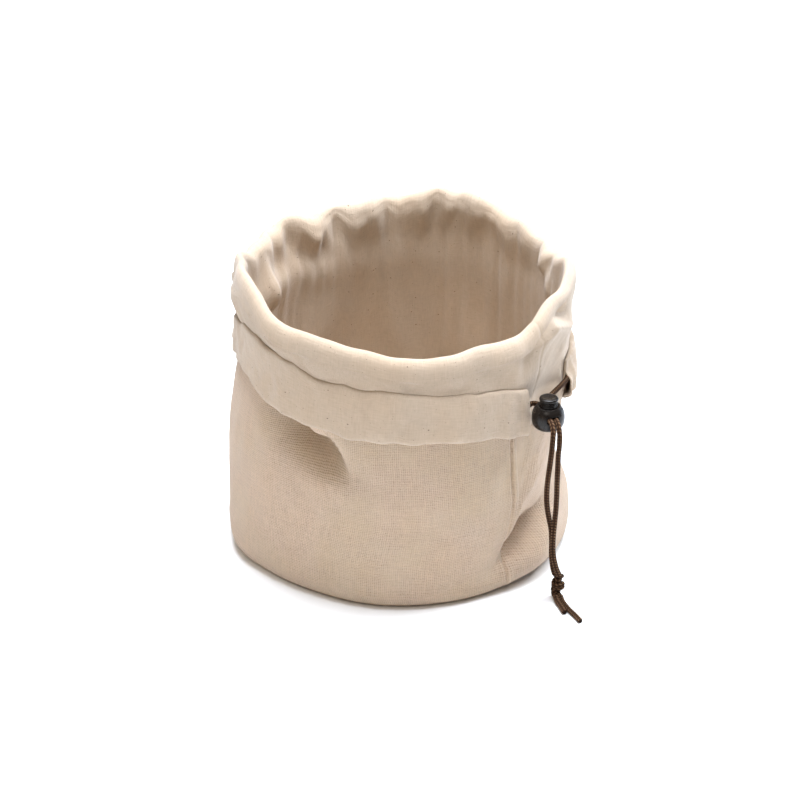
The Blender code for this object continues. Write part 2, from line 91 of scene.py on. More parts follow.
# A row for every 15 degrees from the front, in the columns of Rim
RIM = np.array([
    (158, 94, 141, 110), (157.5, 94, 137.5, 108.5), (160.5, 94.5, 135, 105.5),
    (159, 93.5, 129.5, 99.5), (169, 93.5, 127, 100), (171, 95, 126, 101), (173, 95, 127, 102.5),
    (166, 95, 131, 104), (166.5, 96, 136.5, 107), (170, 97, 142, 111), (177, 97, 147, 116),
    (178, 97, 150.5, 119), (172, 97, 151, 120), (170, 97, 149, 119), (167, 97, 147, 118),
    (169.5, 96, 145, 117), (166, 95, 144, 118), (168, 92.5, 143, 119), (173.5, 90.5, 143, 121),
    (180, 91, 149, 123), (178, 93, 154, 122), (167.5, 94, 151, 115.5), (166, 94.5, 146, 114),
    (163, 94.5, 142, 111),
]) / 1000
# A row for every SECTION_STEP of height: the wall's outer radius in front, right, back and left
SECTIONS = np.array([
    (98, 101, 100, 103), (98, 101.5, 100, 101.5), (98, 101, 100, 101.5), (98, 99, 99.5, 101),
    (97.5, 97.5, 98.5, 98.5), (97, 96, 97.3, 94.5), (96.3, 95, 96, 89), (95, 95, 97, 90),
]) / 1000
# The wall's upright seam: rising heights in metres, each with its turn
SEAM_LINE = ((0.002, 38.8), (0.0105, 37.8), (0.030, 38.3), (0.058, 40.9), (0.094, 39.8))
LINING_SEAM = 51.5
NEIGHBOURS = (-1, 0, 1, 2)


# --- Smooth curves ---

def cubic(before: Grid, start: Grid, end: Grid, after: Grid, share: Grid) -> Grid:
    """Value between start and end on a smooth curve that also heeds both neighbours.

    Args:
        before, start, end, after: four values in a row.
        share: how far from start to end, from 0 to 1.

    Returns:
        The value, or a grid of values.
    """
    leave, arrive = (end - before) / 2, (after - start) / 2
    bend = 3 * (end - start) - 2 * leave - arrive
    close = leave + arrive - 2 * (end - start)
    return start + share * (leave + share * (bend + share * close))


def around(values: Grid, turn: Grid) -> Grid:
    """Value at each turn, from values, or rows of them, spaced evenly round the bag."""
    count = len(values)
    place = np.asarray(turn) / 360 * count
    first = np.floor(place).astype(int)
    share = place - first
    near = [values[(first + step) % count] for step in NEIGHBOURS]
    return cubic(*near, share if values.ndim == 1 else share[..., None])


def ease(share: Grid) -> Grid:
    """Go smoothly from 0 to 1."""
    share = np.clip(share, 0.0, 1.0)
    return share * share * (3 - 2 * share)


def swell(distance: Grid, width: float) -> Grid:
    """Bell curve: 1 at no distance, fading over the width."""
    return np.exp(-(distance / width) ** 2)


def apart(turn: Grid, other: float) -> Grid:
    """Turns counted from another turn, between -180 and 180."""
    return (turn - other + 180) % 360 - 180


def about(turn: Grid, other: float, width: float) -> Grid:
    """Bell curve round the bag: 1 at another turn, fading over the width in degrees."""
    return swell(apart(turn, other), width)


def at(turn: Grid, radius: Grid, height: Grid) -> Grid:
    """Points at turns, radii and heights, as a grid with x, y and z last."""
    angle = np.radians(turn)
    places = radius * np.sin(angle), -radius * np.cos(angle), height
    return np.stack(np.broadcast_arrays(*places), -1)


def smooth_route(points: Sequence[Sequence[float]], step: float) -> Grid:
    """Points about a step apart on a smooth curve through the points of a route.

    Args:
        points: the route's own points.
        step: the distance wanted between neighbours, in the unit of the points.

    Returns:
        The points, one a row.
    """
    known = np.array(points, dtype=float)
    padded = np.vstack([2 * known[0] - known[1], known, 2 * known[-1] - known[-2]])
    route = [known[:1]]
    for before, start, end, after in zip(padded, padded[1:], padded[2:], padded[3:]):
        pieces = max(1, round(float(np.linalg.norm(end - start)) / step))
        route.append(cubic(before, start, end, after, (np.arange(pieces) + 1)[:, None] / pieces))
    return np.vstack(route)


def walked(*parts: Grid) -> Grid:
    """Distance from the first row to every row, where parts are the places' coordinates."""
    steps = np.sqrt(sum(np.diff(part, axis=0) ** 2 for part in parts))
    return np.concatenate([np.zeros_like(steps[:1]), steps.cumsum(axis=0)])


# --- The shape of the bag ---

@dataclass(frozen=True)
class Fold:
    """Soft trough in the cloth, or a ridge where its depth is negative.

    It lies along a line through (turn, height) that leans from upright towards larger turns. It
    reaches so far along its line and so far left and right of it, and goes in by its depth. Its
    bottom is round where round is 2 and a crease where it is 1.
    """

    turn: float
    height: float
    lean: float
    reach: float
    left: float
    right: float
    depth: float
    round: float = 2.0

    def at(self, turn: Grid, height: Grid) -> Grid:
        """How far this fold pushes the cloth in at each place."""
        across = np.radians(apart(turn, self.turn)) * WAIST
        rise = height - self.height
        lean = np.radians(self.lean)
        along = across * np.sin(lean) + rise * np.cos(lean)
        aside = across * np.cos(lean) - rise * np.sin(lean)
        width = np.where(aside < 0, self.left, self.right)
        return self.depth * np.exp(-(along / self.reach) ** 2 - np.abs(aside / width) ** self.round)


def folds(*rows: tuple[float, ...]) -> tuple[Fold, ...]:
    """Folds from rows of the fields of Fold, with every length in millimetres."""
    return tuple(Fold(turn, height / 1000, lean, *(size / 1000 for size in rest[:4]), *rest[4:])
                 for turn, height, lean, *rest in rows)


@dataclass(frozen=True)
class Ripple:
    """Uneven waviness of cloth that runs right round the bag: the sum of several waves.

    around holds the shortest and the longest wave round the bag, and upright the usual wave up the
    bag, in metres.
    """

    seed: int
    size: float
    around: Pair
    upright: float = 1.0
    waves: int = 12

    def at(self, turn: Grid, height: Grid = 0.0) -> Grid:
        """How far the waviness pushes the cloth out at each place."""
        dice = np.random.RandomState(self.seed)
        total = np.zeros(np.broadcast(turn, height).shape)
        for _ in range(self.waves):
            count = round(2 * np.pi * WAIST / dice.uniform(*self.around))
            climb = dice.normal() * 2 * np.pi / self.upright
            phase = dice.uniform(0, 2 * np.pi)
            total = total + np.sin(np.radians(turn) * count + climb * height + phase)
        return self.size * total / np.sqrt(self.waves / 2)


# The main folds of the wall, which the solids have too. Fields of Fold, lengths in millimetres
WALL_FOLDS = folds(
    (-35, 98, 113, 26, 9, 24, 10),  # scoop under the cuff, front left
    (49, 30, 64, 26, 16, 14, 4),  # trough beside the upright seam
    (88, 46, 90, 46, 36, 14, 12),  # slack waist on the right
    (-68, 6, 0, 22, 20, 18, -3),  # base pushed out, left
    (-32, 15, 0, 50, 26, 26, 2.2),  # base drawn in, front left
    (150, 62, 20, 40, 16, 22, 4.5),  # upright fold at the back
    (215, 80, 160, 34, 18, 14, 4),  # second fold at the back
)
GAP_PLEAT = folds(
    (60, 114, 60, 25, 17, 14, 7),  # cuff drawn in behind the toggle
)
CUFF_PLEAT = folds(
    (57, 112, 60, 22, 17, 9, 7),  # as the cuff's own cloth follows it
)
# Folds of the cuff
BAND_FOLDS = folds(
    (-82, 157, 90, 34, 15, 9.5, -2.5),  # ridge round the cuff, left
    (-67, 171, 67, 16, 1.2, 1.2, 0.8),  # pinched crease, left
    (63.5, 153, 112, 26, 3, 12, -5.6, 1.1),  # ledge over the toggle
    (54, 158, 106, 10, 3, 10, -2.2, 1.2),
    (68.5, 161.5, 114, 20, 7.5, 6, 6.6),  # hollow above the ledge
    (74, 150, 60, 7, 1.4, 1.4, 1.2),
    (43, 146.5, 92, 22, 7, 8, 1.4),  # hollow of the cuff below it
    (44, 140, 8, 12, 4, 4, 0.8), (-47, 156, 25, 8, 3, 4, 0.8), (-33, 154, -20, 7, 3, 3, 0.7),
    (130, 150, 15, 14, 5, 6, 2), (176, 158, -12, 14, 6, 5, 2.2), (222, 152, 10, 14, 5, 6, 2),
)
# Folds of the lining inside the bag: all stand inwards
INSIDE_FOLDS = folds(
    (-112.5, 155, -6, 20, 10, 4, 6, 1.6), (-114, 137, -6, 18, 11, 4.5, 8.5, 1.6),
    (-128, 161, 28, 18, 4, 4.5, 3.6), (-147, 161.5, 36, 16, 5, 6, 5), (-171, 164, 5, 22, 6, 8, 3.6),
    (159, 173, -34, 14, 3.6, 4, 3.6), (142, 170, 32, 20, 5, 6, 5),
    (112, 159, 45, 30, 14, 3.2, 7.5, 1.6), (-62, 132, 15, 32, 6, 8, 3.2),
    (-21, 118, -10, 30, 7, 7, 3.2), (19, 115, 8, 34, 6, 6, 3), (61, 130, -12, 30, 6, 8, 3.8),
)
# Finer creases of the cloths
WALL_CREASES = folds(
    (-38, 101, 112, 25, 9, 11, 10.4, 1.4),  # the scoop's deepest part
    (-22.4, 100.5, -27, 14, 16, 1.3, 8.4),  # its sharp end
    (-33, 84, 113, 25, 9, 12, -5.2),  # fuller cloth below it
    (-29, 107.5, 40, 11, 8, 8, -5.8),  # puff inside the scoop
    (47.3, 30, 62, 20, 8, 5, 14.2, 1.2),  # the trough's sharp bottom
    (52.6, 24.5, 61, 27, 5.5, 15, -7.4),  # bulge below the trough
    (40.5, 39, 25, 18, 4, 2.6, -3.4, 1.2),  # pale ridge beside it
    (51, 66, 39, 20, 4, 5, -2.2, 1.3),  # drag lines under the toggle
    (52.5, 79, 33, 20, 3.2, 3.5, -1.1), (47, 77, 30, 16, 3, 3.5, -0.8),
    (58, 74, 42, 18, 3.2, 4, -1), (-80, 70, 10, 30, 12, 10, 1.2), (-58, 85, 150, 26, 10, 8, 1),
    (12, 50, 100, 40, 10, 14, 0.7), (110, 78, 30, 26, 6, 10, 2.2), (131, 40, 160, 30, 8, 10, 2),
    (178, 70, 15, 34, 8, 12, 2.2), (196, 30, 170, 30, 10, 8, 1.6), (240, 60, 20, 36, 10, 12, 2),
    (262, 85, 160, 26, 8, 10, 1.6),
)
WALL_RIPPLES = (Ripple(3, 0.00045, (0.030, 0.160), 0.120),
                Ripple(8, 0.00016, (0.012, 0.030), 0.060))
LINING_RIPPLES = (Ripple(11, 0.00070, (0.018, 0.060), 0.300),
                  Ripple(15, 0.00020, (0.009, 0.020), 0.090))
BAND_RIPPLES = (Ripple(21, 0.00045, (0.020, 0.070), 0.060),
                Ripple(24, 0.00018, (0.008, 0.020), 0.030))
CASING_RIPPLES = (Ripple(41, 0.00045, (0.014, 0.050), 0.050),
                  Ripple(45, 0.00016, (0.007, 0.016), 0.020))
RIM_PLEATS = Ripple(17, 0.00110, (0.010, 0.026), 0.090)
ROLL_RIPPLE = Ripple(37, 0.34, (0.012, 0.040))
CROWN_RIPPLE = Ripple(31, 0.00085, (0.018, 0.060))
CROWN_SWAY = Ripple(35, 0.00120, (0.016, 0.050))
CASING_TOP_RIPPLE = Ripple(53, 0.00040, (0.009, 0.030))
CASING_FOOT_RIPPLE = Ripple(51, 0.00045, (0.014, 0.045))
# Steps of the casing's upper edge in front: turn and width in degrees, rise in millimetres
CASING_TOP_STEPS = (
    (-58, 7, 1.1), (-49.3, 2.2, -1), (-44.5, 2.2, 0.9), (-36, 2, 0.8), (-28, 4.5, -1.5),
    (-17.5, 2.2, 1.1), (-7, 3, 0.8), (3.5, 3, -0.4), (21, 2.5, 0.8), (45, 3.5, -1.4),
)


def sum_of(parts: Sequence[Fold | Ripple], turn: Grid, height: Grid) -> Grid:
    """Sum of several folds or ripples at each place."""
    return sum(part.at(turn, height) for part in parts)


class Rim(Enum):
    """Columns of the rim table."""

    CROWN_HEIGHT = 0
    CROWN_RADIUS = 1
    CASING_TOP = 2
    CASING_FOOT = 3

    def plain(self, turn: Grid) -> Grid:
        """This column at each turn."""
        return around(RIM[:, self.value], turn)

    def at(self, turn: Grid) -> Grid:
        """This column at each turn, with the finer wave of that edge."""
        value = self.plain(turn)
        if self is Rim.CASING_FOOT:
            return value + CASING_FOOT_RIPPLE.at(turn)
        if self is Rim.CASING_TOP:
            front = about(turn, -8, 52)
            value = value - CASING_TOP_SINKS + CASING_TOP_RIPPLE.at(turn) * (1 - 0.8 * front)
            return value + sum(rise / 1000 * about(turn, place, wide)
                               for place, wide, rise in CASING_TOP_STEPS)
        gathered = 0.25 + 0.75 * ease((np.abs(apart(turn, 0)) - 80) / 30)
        ripple = CROWN_RIPPLE if self is Rim.CROWN_HEIGHT else CROWN_SWAY
        return value + ripple.at(turn) * gathered


class Form:
    """The bag's outer form: what every cloth and cord is laid on."""

    @staticmethod
    def section(turn: Grid, height: Grid) -> Grid:
        """Outer radius of the wall from the section table, without folds."""
        last = len(SECTIONS) - 1
        place = np.clip(np.asarray(height) / SECTION_STEP, 0.0, last - 0.001)
        first = np.floor(place).astype(int)
        share = place - first
        rows = [SECTIONS[np.clip(first + step, 0, last)] for step in NEIGHBOURS]
        quarters = cubic(*rows, share[..., None])
        place = np.broadcast_to(turn, share.shape) / 90
        first = np.floor(place).astype(int)
        near = [np.take_along_axis(quarters, ((first + step) % 4)[..., None], -1)[..., 0]
                for step in NEIGHBOURS]
        return cubic(*near, place - first)

    @staticmethod
    def outer(turn: Grid, height: Grid) -> Grid:
        """Outer radius of the wall without folds: near the rim it follows the crown."""
        crown = Rim.CROWN_RADIUS.plain(turn) + WALL_THICKNESS / 2
        end = Rim.CROWN_HEIGHT.plain(turn) - BLEND_END_BELOW_CROWN
        share = ease((height - BLEND_START) / (end - BLEND_START))
        return Form.section(turn, height) * (1 - share) + crown * share

    @staticmethod
    def corner(turn: Grid) -> tuple[Grid, Grid]:
        """Depth and height of the rounded corner at the foot of the wall: slackest on the left."""
        slack = about(turn, -66, 36)
        return 0.0064 + 0.0016 * slack, 0.0095 + 0.0095 * slack

    @staticmethod
    def corner_inset(turn: Grid, height: Grid) -> Grid:
        """How far the rounded corner draws the wall in."""
        deep, tall = Form.corner(turn)
        below = np.clip(1 - height / tall, 0, 1)
        return deep * (1 - np.sqrt(1 - below ** 2))

    @staticmethod
    def wall(turn: Grid, height: Grid) -> Grid:
        """Outer radius of the folded wall."""
        return Form.outer(turn, height) - sum_of(WALL_FOLDS + GAP_PLEAT, turn, height)

    @staticmethod
    def cuff(turn: Grid, height: Grid) -> Grid:
        """Outer radius of what the cuff lies on: the wall without the folds below the cuff."""
        return Form.outer(turn, height) - sum_of(CUFF_PLEAT, turn, height)


# --- Cloth ---

def link(name: str, data: bpy.types.ID) -> Piece:
    """Put new data into the scene as an object."""
    thing = bpy.data.objects.new(name, data)
    bpy.context.scene.collection.objects.link(thing)
    return thing


def add_piece(name: str, shape: bmesh.types.BMesh, finish: Finish) -> Piece:
    """Turn a finished bmesh into a piece of the bag, at the origin.

    Args:
        name: the piece's name.
        shape: the mesh, which is freed.
        finish: its material.

    Returns:
        The new object.
    """
    mesh = bpy.data.meshes.new(name)
    shape.to_mesh(mesh)
    shape.free()
    mesh.shade_smooth()
    mesh.materials.append(finish)
    log.info("%s: %d faces", name, len(mesh.polygons))
    return link(name, mesh)


def crowd(share: Grid, amount: float) -> Grid:
    """Move even shares closer together at both ends, so that seams get more columns."""
    return share - amount / (2 * np.pi) * np.sin(2 * np.pi * share)


@dataclass(frozen=True)
class Fabric:
    """Rectangle of cloth, cut flat in columns and rows and then laid point by point."""

    name: str
    finish: Finish
    columns: int
    rows: int
    thickness: float = 0.0

    def shares(self) -> tuple[Grid, Grid]:
        """Shares along and up the flat cloth, each a grid of rows by columns."""
        return np.meshgrid(*(np.linspace(0, 1, count + 1) for count in (self.columns, self.rows)))

    def lay(self, places: Grid, along: Grid, up: Grid) -> Piece:
        """Lay the cloth, and sew edges together where they meet.

        Args:
            places: the point of every corner, rows by columns by three.
            along, up: the places of the corners on the flat cloth, in metres.

        Returns:
            The laid cloth, with its thickness.
        """
        shape = bmesh.new()
        layer = shape.loops.layers.uv.new("cloth")
        bmesh.ops.create_grid(shape, x_segments=self.columns, y_segments=self.rows, size=0.5)
        flat = np.array([corner.co for corner in shape.verts]) + 0.5
        column, row = (np.rint(flat[:, axis] * count).astype(int)
                       for axis, count in enumerate((self.columns, self.rows)))
        threads = np.stack(np.broadcast_arrays(along, up), -1)[row, column]
        for corner, place in zip(shape.verts, places[row, column]):
            corner.co = place
        for face in shape.faces:
            for loop in face.loops:
                loop[layer].uv = threads[loop.vert.index]
        edges = [corner for corner in shape.verts if corner.is_boundary]
        bmesh.ops.remove_doubles(shape, verts=edges, dist=SEW_WITHIN)
        bmesh.ops.recalc_face_normals(shape, faces=shape.faces)
        piece = add_piece(self.name, shape, self.finish)
        if self.thickness:
            solid = piece.modifiers.new("Thickness", "SOLIDIFY")
            solid.thickness, solid.offset = self.thickness, 0.0
        return piece


# --- Finishes ---

class Value:
    """Number, colour or vector on its way between nodes. Arithmetic on numbers adds Math nodes."""

    def __init__(self, graph: "Graph", socket: bpy.types.NodeSocket | None) -> None:
        """Wrap a node's output socket."""
        self.graph = graph
        self.socket = socket


def arithmetic(operation: str, swapped: bool) -> Callable[[Value, Value | float], Value]:
    """Make an operator of Value that adds a Math node, with its two sides swapped or not."""
    def operator(value: Value, other: Value | float) -> Value:
        """Add the node."""
        return value.graph.math(operation, *((other, value) if swapped else (value, other)))
    return operator


for sign, operation in (("add", "ADD"), ("sub", "SUBTRACT"), ("mul", "MULTIPLY"),
                        ("truediv", "DIVIDE"), ("pow", "POWER")):
    setattr(Value, f"__{sign}__", arithmetic(operation, swapped=False))
    setattr(Value, f"__r{sign}__", arithmetic(operation, swapped=True))


class Graph:
    """The nodes of one material, or of the studio's surroundings."""

    def __init__(self, owner: Finish | bpy.types.World) -> None:
        """Start with no nodes."""
        self.owner = owner
        owner.use_nodes = True
        self.tree = owner.node_tree
        self.tree.nodes.clear()

    def node(self, kind: str, sockets: dict[int | str, Any] | None = None, output: int | str = 0,
             **settings: Any) -> Value:
        """Add a node.

        Args:
            kind: the node's type, without its common start.
            sockets: numbers, colours or Values for its inputs, by name or place.
            output: which of its outputs to hand back.
            settings: its properties, which are set first.

        Returns:
            That output.
        """
        node = self.tree.nodes.new(f"ShaderNode{kind}")
        for name, setting in settings.items():
            setattr(node, name, setting)
        for name, value in (sockets or {}).items():
            if isinstance(value, Value):
                self.tree.links.new(value.socket, node.inputs[name])
            else:
                node.inputs[name].default_value = value
        return Value(self, node.outputs[output] if node.outputs else None)

    def math(self, operation: str, *values: Value | float) -> Value:
        """Add a Math node."""
        return self.node("Math", dict(enumerate(values)), operation=operation)

    def clip(self, value: Value | float) -> Value:
        """Keep a number between 0 and 1."""
        return self.node("Math", {0: value, 1: 0.0}, operation="ADD", use_clamp=True)

    def step(self, value: Value, low: float, high: float) -> Value:
        """Go smoothly from 0 at low to 1 at high."""
        return self.node("MapRange", {"Value": value, "From Min": low, "From Max": high},
                         interpolation_type="SMOOTHSTEP")

    def blend(self, share: Value | float, first: Any, second: Any, kind: str = "MIX") -> Value:
        """Mix two colours."""
        return self.node("Mix", {0: share, 6: first, 7: second}, 2, data_type="RGBA",
                         blend_type=kind)

    def shade(self, colour: Any, amount: Value) -> Value:
        """Darken or lighten a colour by a factor."""
        grey = self.node("CombineColor", dict.fromkeys(range(3), amount))
        return self.blend(1.0, colour, grey, "MULTIPLY")

    def vector(self, x: Value | float, y: Value | float, z: Value | float = 0.0) -> Value:
        """Put three numbers together."""
        return self.node("CombineXYZ", {0: x, 1: y, 2: z})

    def part(self, vector: Value, axis: str) -> Value:
        """Take one number of a vector."""
        return self.node("SeparateXYZ", {0: vector}, axis)

    def threads(self) -> tuple[Value, Value]:
        """Place on the flat cloth in metres: along and up."""
        place = self.node("UVMap", uv_map="cloth")
        return self.part(place, "X"), self.part(place, "Y")

    def noise(self, place: Value, scale: float, detail: float) -> Value:
        """Smooth noise, about 0.5 on average."""
        return self.node("TexNoise", {"Vector": place, "Scale": scale, "Detail": detail},
                         noise_dimensions="3D")

    def cloud(self, scale: float, detail: float) -> Value:
        """Smooth noise in the bag's frame."""
        return self.noise(self.node("TexCoord", output="Object"), scale, detail)

    def grain(self, x: Value, y: Value, layer: Value | float, scale: float = 1.0,
              detail: float = 2.0) -> Value:
        """Smooth noise on the flat cloth, different for each layer."""
        return self.noise(self.vector(x, y, layer), scale, detail)

    def streaks(self, along: Value, up: Value, long: float, fine: float) -> tuple[Value, Value]:
        """Level and upright streaks of thread, about 0 on average, from waves in a metre."""
        return (self.grain(along * long, up * fine, 2.0) - 0.5,
                self.grain(along * fine, up * long, 7.0) - 0.5)

    def finish(self, height: Value, **sockets: Any) -> Finish:
        """Close the material.

        Args:
            height: relief of the surface in metres.
            sockets: what feeds the shader, with underscores for the spaces in a socket's name.

        Returns:
            The finished material.
        """
        normal = self.node("Bump", {"Strength": 1.0, "Distance": 1.0, "Height": height},
                           "Normal")
        named = {name.replace("_", " "): value for name, value in sockets.items()}
        shader = self.node("BsdfPrincipled", {"Normal": normal, **named})
        self.node("OutputMaterial", {"Surface": shader})
        return self.owner


@dataclass(frozen=True)
class Weave:
    """Plain weave, with the pitch of its upright and its level threads in metres."""

    upright: float
    level: float
    wander: float
    uneven: float
    slip: float = 0.7

    def draw(self, graph: Graph, along: Value, up: Value) -> tuple[Value, Value]:
        """Draw the weave.

        Args:
            graph: the material's nodes.
            along, up: place on the flat cloth in metres.

        Returns:
            The relief from 0 to 1, and how far each thread's tone is from the usual, about -1 to 1.
        """
        slip = (graph.grain(along, up, 9.0, 420.0, 1.0) - 0.5) * self.slip
        u, v = (
            place / pitch + (graph.grain(along, up, layer, 45.0, 1.0) - 0.5) * self.wander + slip
            for place, pitch, layer in ((along, self.upright, 0.0), (up, self.level, 3.0)))
        u_thread, v_thread = graph.math("FLOOR", u), graph.math("FLOOR", v)
        u_tone = graph.grain(u_thread * 3.7, v * 0.09, 1.0) * 2 - 1
        v_tone = graph.grain(u * 0.09, v_thread * 3.7, 5.0) * 2 - 1
        u_round, v_round = (
            graph.math("SINE", graph.math("FRACT", place) * np.pi) ** (0.75 - tone * self.uneven)
            for place, tone in ((u, u_tone), (v, v_tone)))
        u_up = 0.5 + 0.5 * graph.math("SINE", (v + u_thread) * np.pi)
        v_up = 0.5 - 0.5 * graph.math("SINE", (u + v_thread) * np.pi)
        u_high, v_high = u_round * (0.35 + 0.65 * u_up), v_round * (0.35 + 0.65 * v_up)
        top = graph.step(u_high - v_high, -0.08, 0.08)
        return graph.math("MAXIMUM", u_high, v_high), u_tone * top + v_tone * (1 - top)


@dataclass(frozen=True)
class Linen:
    """Coarse undyed linen, with painted shade in the gaps of its weave and a painted highlight on
    the tops of its threads.
    """

    colour: Colour = (0.530, 0.417, 0.312, 1.0)
    warm: Colour = (0.496, 0.368, 0.246, 1.0)
    rosy: Colour = (0.564, 0.408, 0.329, 1.0)
    # dark brown of the painted shade in the gaps of the weave
    gap_shade_colour: Colour = (0.215, 0.130, 0.072, 1.0)
    weave: Weave = Weave(0.00116, 0.00106, 0.45, 0.9)
    relief: float = 0.00034

    def make(self) -> Finish:
        """Make the material."""
        graph = Graph(bpy.data.materials.new("coarse_linen"))
        along, up = graph.threads()
        relief, tone = self.weave.draw(graph, along, up)
        pairs = 0.5 + 0.5 * graph.math("COSINE", up / self.weave.level * np.pi)
        worn = graph.step(graph.cloud(42.0, 2.0), 0.30, 0.62)
        open_gap = graph.step(graph.grain(along, up, 4.0, 620.0, 1.0), 0.32, 0.66)
        # Painted shade in the gaps of the weave: where the threads lie low the colour goes towards
        # the dark brown, more in every second row; the worn and open_gap noises only vary how
        # strong this painted shade is.
        painted_gap_shade = ((1 - graph.step(relief, 0.12, 0.70)) * (0.62 + 0.38 * pairs)
                  * (0.45 + 0.55 * worn) * (0.35 + 0.95 * open_gap))
        # Painted highlight: the tops of the threads are made lighter.
        crest_highlight = graph.step(relief, 0.80, 1.0)
        cloud = graph.cloud(26.0, 3.0) - 0.5
        fuzz = graph.cloud(2600.0, 2.0) - 0.5
        patch = graph.cloud(55.0, 2.0) - 0.5
        hue = graph.step(graph.cloud(21.0, 2.0), 0.36, 0.64)
        level, upright = graph.streaks(along, up, 130, 760)
        streak = level * 0.7 + upright
        amount = 1.02 + tone * 0.10 + cloud * 0.10 + fuzz * 0.14 + crest_highlight * 0.13 + streak * 0.16
        warmth = graph.clip(0.42 + tone * 0.4 + cloud * 0.8 + patch * 0.8)
        tint = graph.blend(hue * 0.26, graph.blend(warmth, self.colour, self.warm), self.rosy)
        colour = graph.blend(graph.clip((0.74 - streak * 0.8) * painted_gap_shade), graph.shade(tint, amount),
                             self.gap_shade_colour)
        height = (relief * self.relief + tone * 0.00007 + fuzz * 0.00004
                  + graph.cloud(70.0, 3.0) * 0.0006)
        return graph.finish(height, Base_Color=colour, Roughness=0.92 - 0.08 * relief,
                            Sheen_Weight=0.15, Sheen_Roughness=0.5, Specular_IOR_Level=0.2)


@dataclass(frozen=True)
class Cotton:
    """Fine undyed cotton with seed flecks and a few thick threads."""

    colour: Colour = (0.520, 0.418, 0.320, 1.0)
    warm: Colour = (0.508, 0.384, 0.272, 1.0)
    fleck: Colour = (0.100, 0.062, 0.040, 1.0)
    weave: Weave = Weave(0.00040, 0.00044, 0.30, 0.8)
    relief: float = 0.00010

    def flecks(self, graph: Graph, along: Value, up: Value, scale: float, radius: float,
               share: float) -> Value:
        """Scatter seed flecks.

        Args:
            graph: the material's nodes.
            along, up: place on the flat cloth in metres.
            scale: cells in a metre, with one fleck at most in each.
            radius: a fleck's radius in metres.
            share: the share of the cells that have one.

        Returns:
            A mask of the flecks.
        """
        rough = graph.grain(along, up, scale, 1400.0, 1.0) - 0.5
        near, dice = (graph.node("TexVoronoi",
                                 {"Vector": graph.vector(along, up * 1.5, scale), "Scale": scale},
                                 output, voronoi_dimensions="2D", feature="F1")
                      for output in ("Distance", "Color"))
        size = radius * scale
        mask = 1 - graph.step(near + rough * size * 1.2, size * 0.6, size * 1.2)
        chance = graph.node("SeparateColor", {0: dice})
        return mask * graph.math("LESS_THAN", chance, share)

    def make(self) -> Finish:
        """Make the material."""
        graph = Graph(bpy.data.materials.new("undyed_cotton"))
        along, up = graph.threads()
        relief, tone = self.weave.draw(graph, along, up)
        specks = graph.math("MAXIMUM", self.flecks(graph, along, up, 74.0, 0.00042, 0.34),
                            self.flecks(graph, along, up, 190.0, 0.00020, 0.40))
        slub = graph.step(graph.grain(along * 60, up * 1500, 0.0, detail=1.0), 0.66, 0.78)
        level, upright = graph.streaks(along, up, 170, 1300)
        streak = level + upright
        cloud = graph.cloud(30.0, 3.0) - 0.5
        amount = 1.0 + tone * 0.03 + cloud * 0.11 + slub * 0.06 + streak * 0.22
        tint = graph.blend(graph.clip(0.45 + cloud * 1.6), self.colour, self.warm)
        # Painted shade: the colour is a little darker where the weave lies low, between the
        # threads.
        colour = graph.shade(tint, amount * (0.93 + 0.07 * relief))
        height = (relief * self.relief + slub * 0.00008 + specks * 0.00006 + tone * 0.00002
                  + streak * 0.00016 + graph.cloud(60.0, 4.0) * 0.0009)
        return graph.finish(height, Base_Color=graph.blend(specks * 0.8, colour, self.fleck),
                            Roughness=0.88 - 0.06 * relief, Sheen_Weight=0.30,
                            Sheen_Roughness=0.45, Specular_IOR_Level=0.2)


@dataclass(frozen=True)
class Braid:
    """Round braid of dark brown thread, with tan painted highlights on the tops of its bundles and
    painted shade between them.
    """

    colour: Colour = (0.050, 0.023, 0.0110, 1.0)
    # tan of the painted highlights
    glint_colour: Colour = (0.228, 0.138, 0.080, 1.0)
    columns: float = 4.0
    pitch: float = 0.0019

    def make(self) -> Finish:
        """Make the material. The cloth map holds the way round the cord and the way along it."""
        graph = Graph(bpy.data.materials.new("brown_braid"))
        round_it, along = graph.threads()
        place = round_it * (self.columns / (np.pi * CORD_DIAMETER)) + 0.5
        column, across = graph.math("FLOOR", place), graph.math("FRACT", place)
        lean = graph.math("FLOORED_MODULO", column, 2.0) * 2 - 1
        rise = along / self.pitch + lean * (across - 0.5) * 0.62
        bundle = graph.math("SINE", graph.math("FRACT", rise) * np.pi)
        relief = graph.math("SINE", across * np.pi) ** 0.6 * bundle ** 0.7
        fibre = graph.grain(place * 8, rise * 5, column)
        fade = graph.step(graph.cloud(60.0, 1.0), 0.25, 0.75)
        # Painted highlight: tan glints on the tops of the bundles.
        glint = graph.step(relief, 0.50, 0.92) * (0.22 + 0.50 * fade) * (0.3 + 1.0 * fibre)
        # Painted shade: darker where the braid dips between its bundles.
        colour = graph.shade(graph.blend(graph.clip(glint), self.colour, self.glint_colour),
                             (0.35 + 0.8 * relief) * (0.75 + fibre * 0.5))
        return graph.finish(relief * 0.00026 + fibre * 0.00003, Base_Color=colour,
                            Roughness=0.80 + 0.10 * fibre, Specular_IOR_Level=0.10)


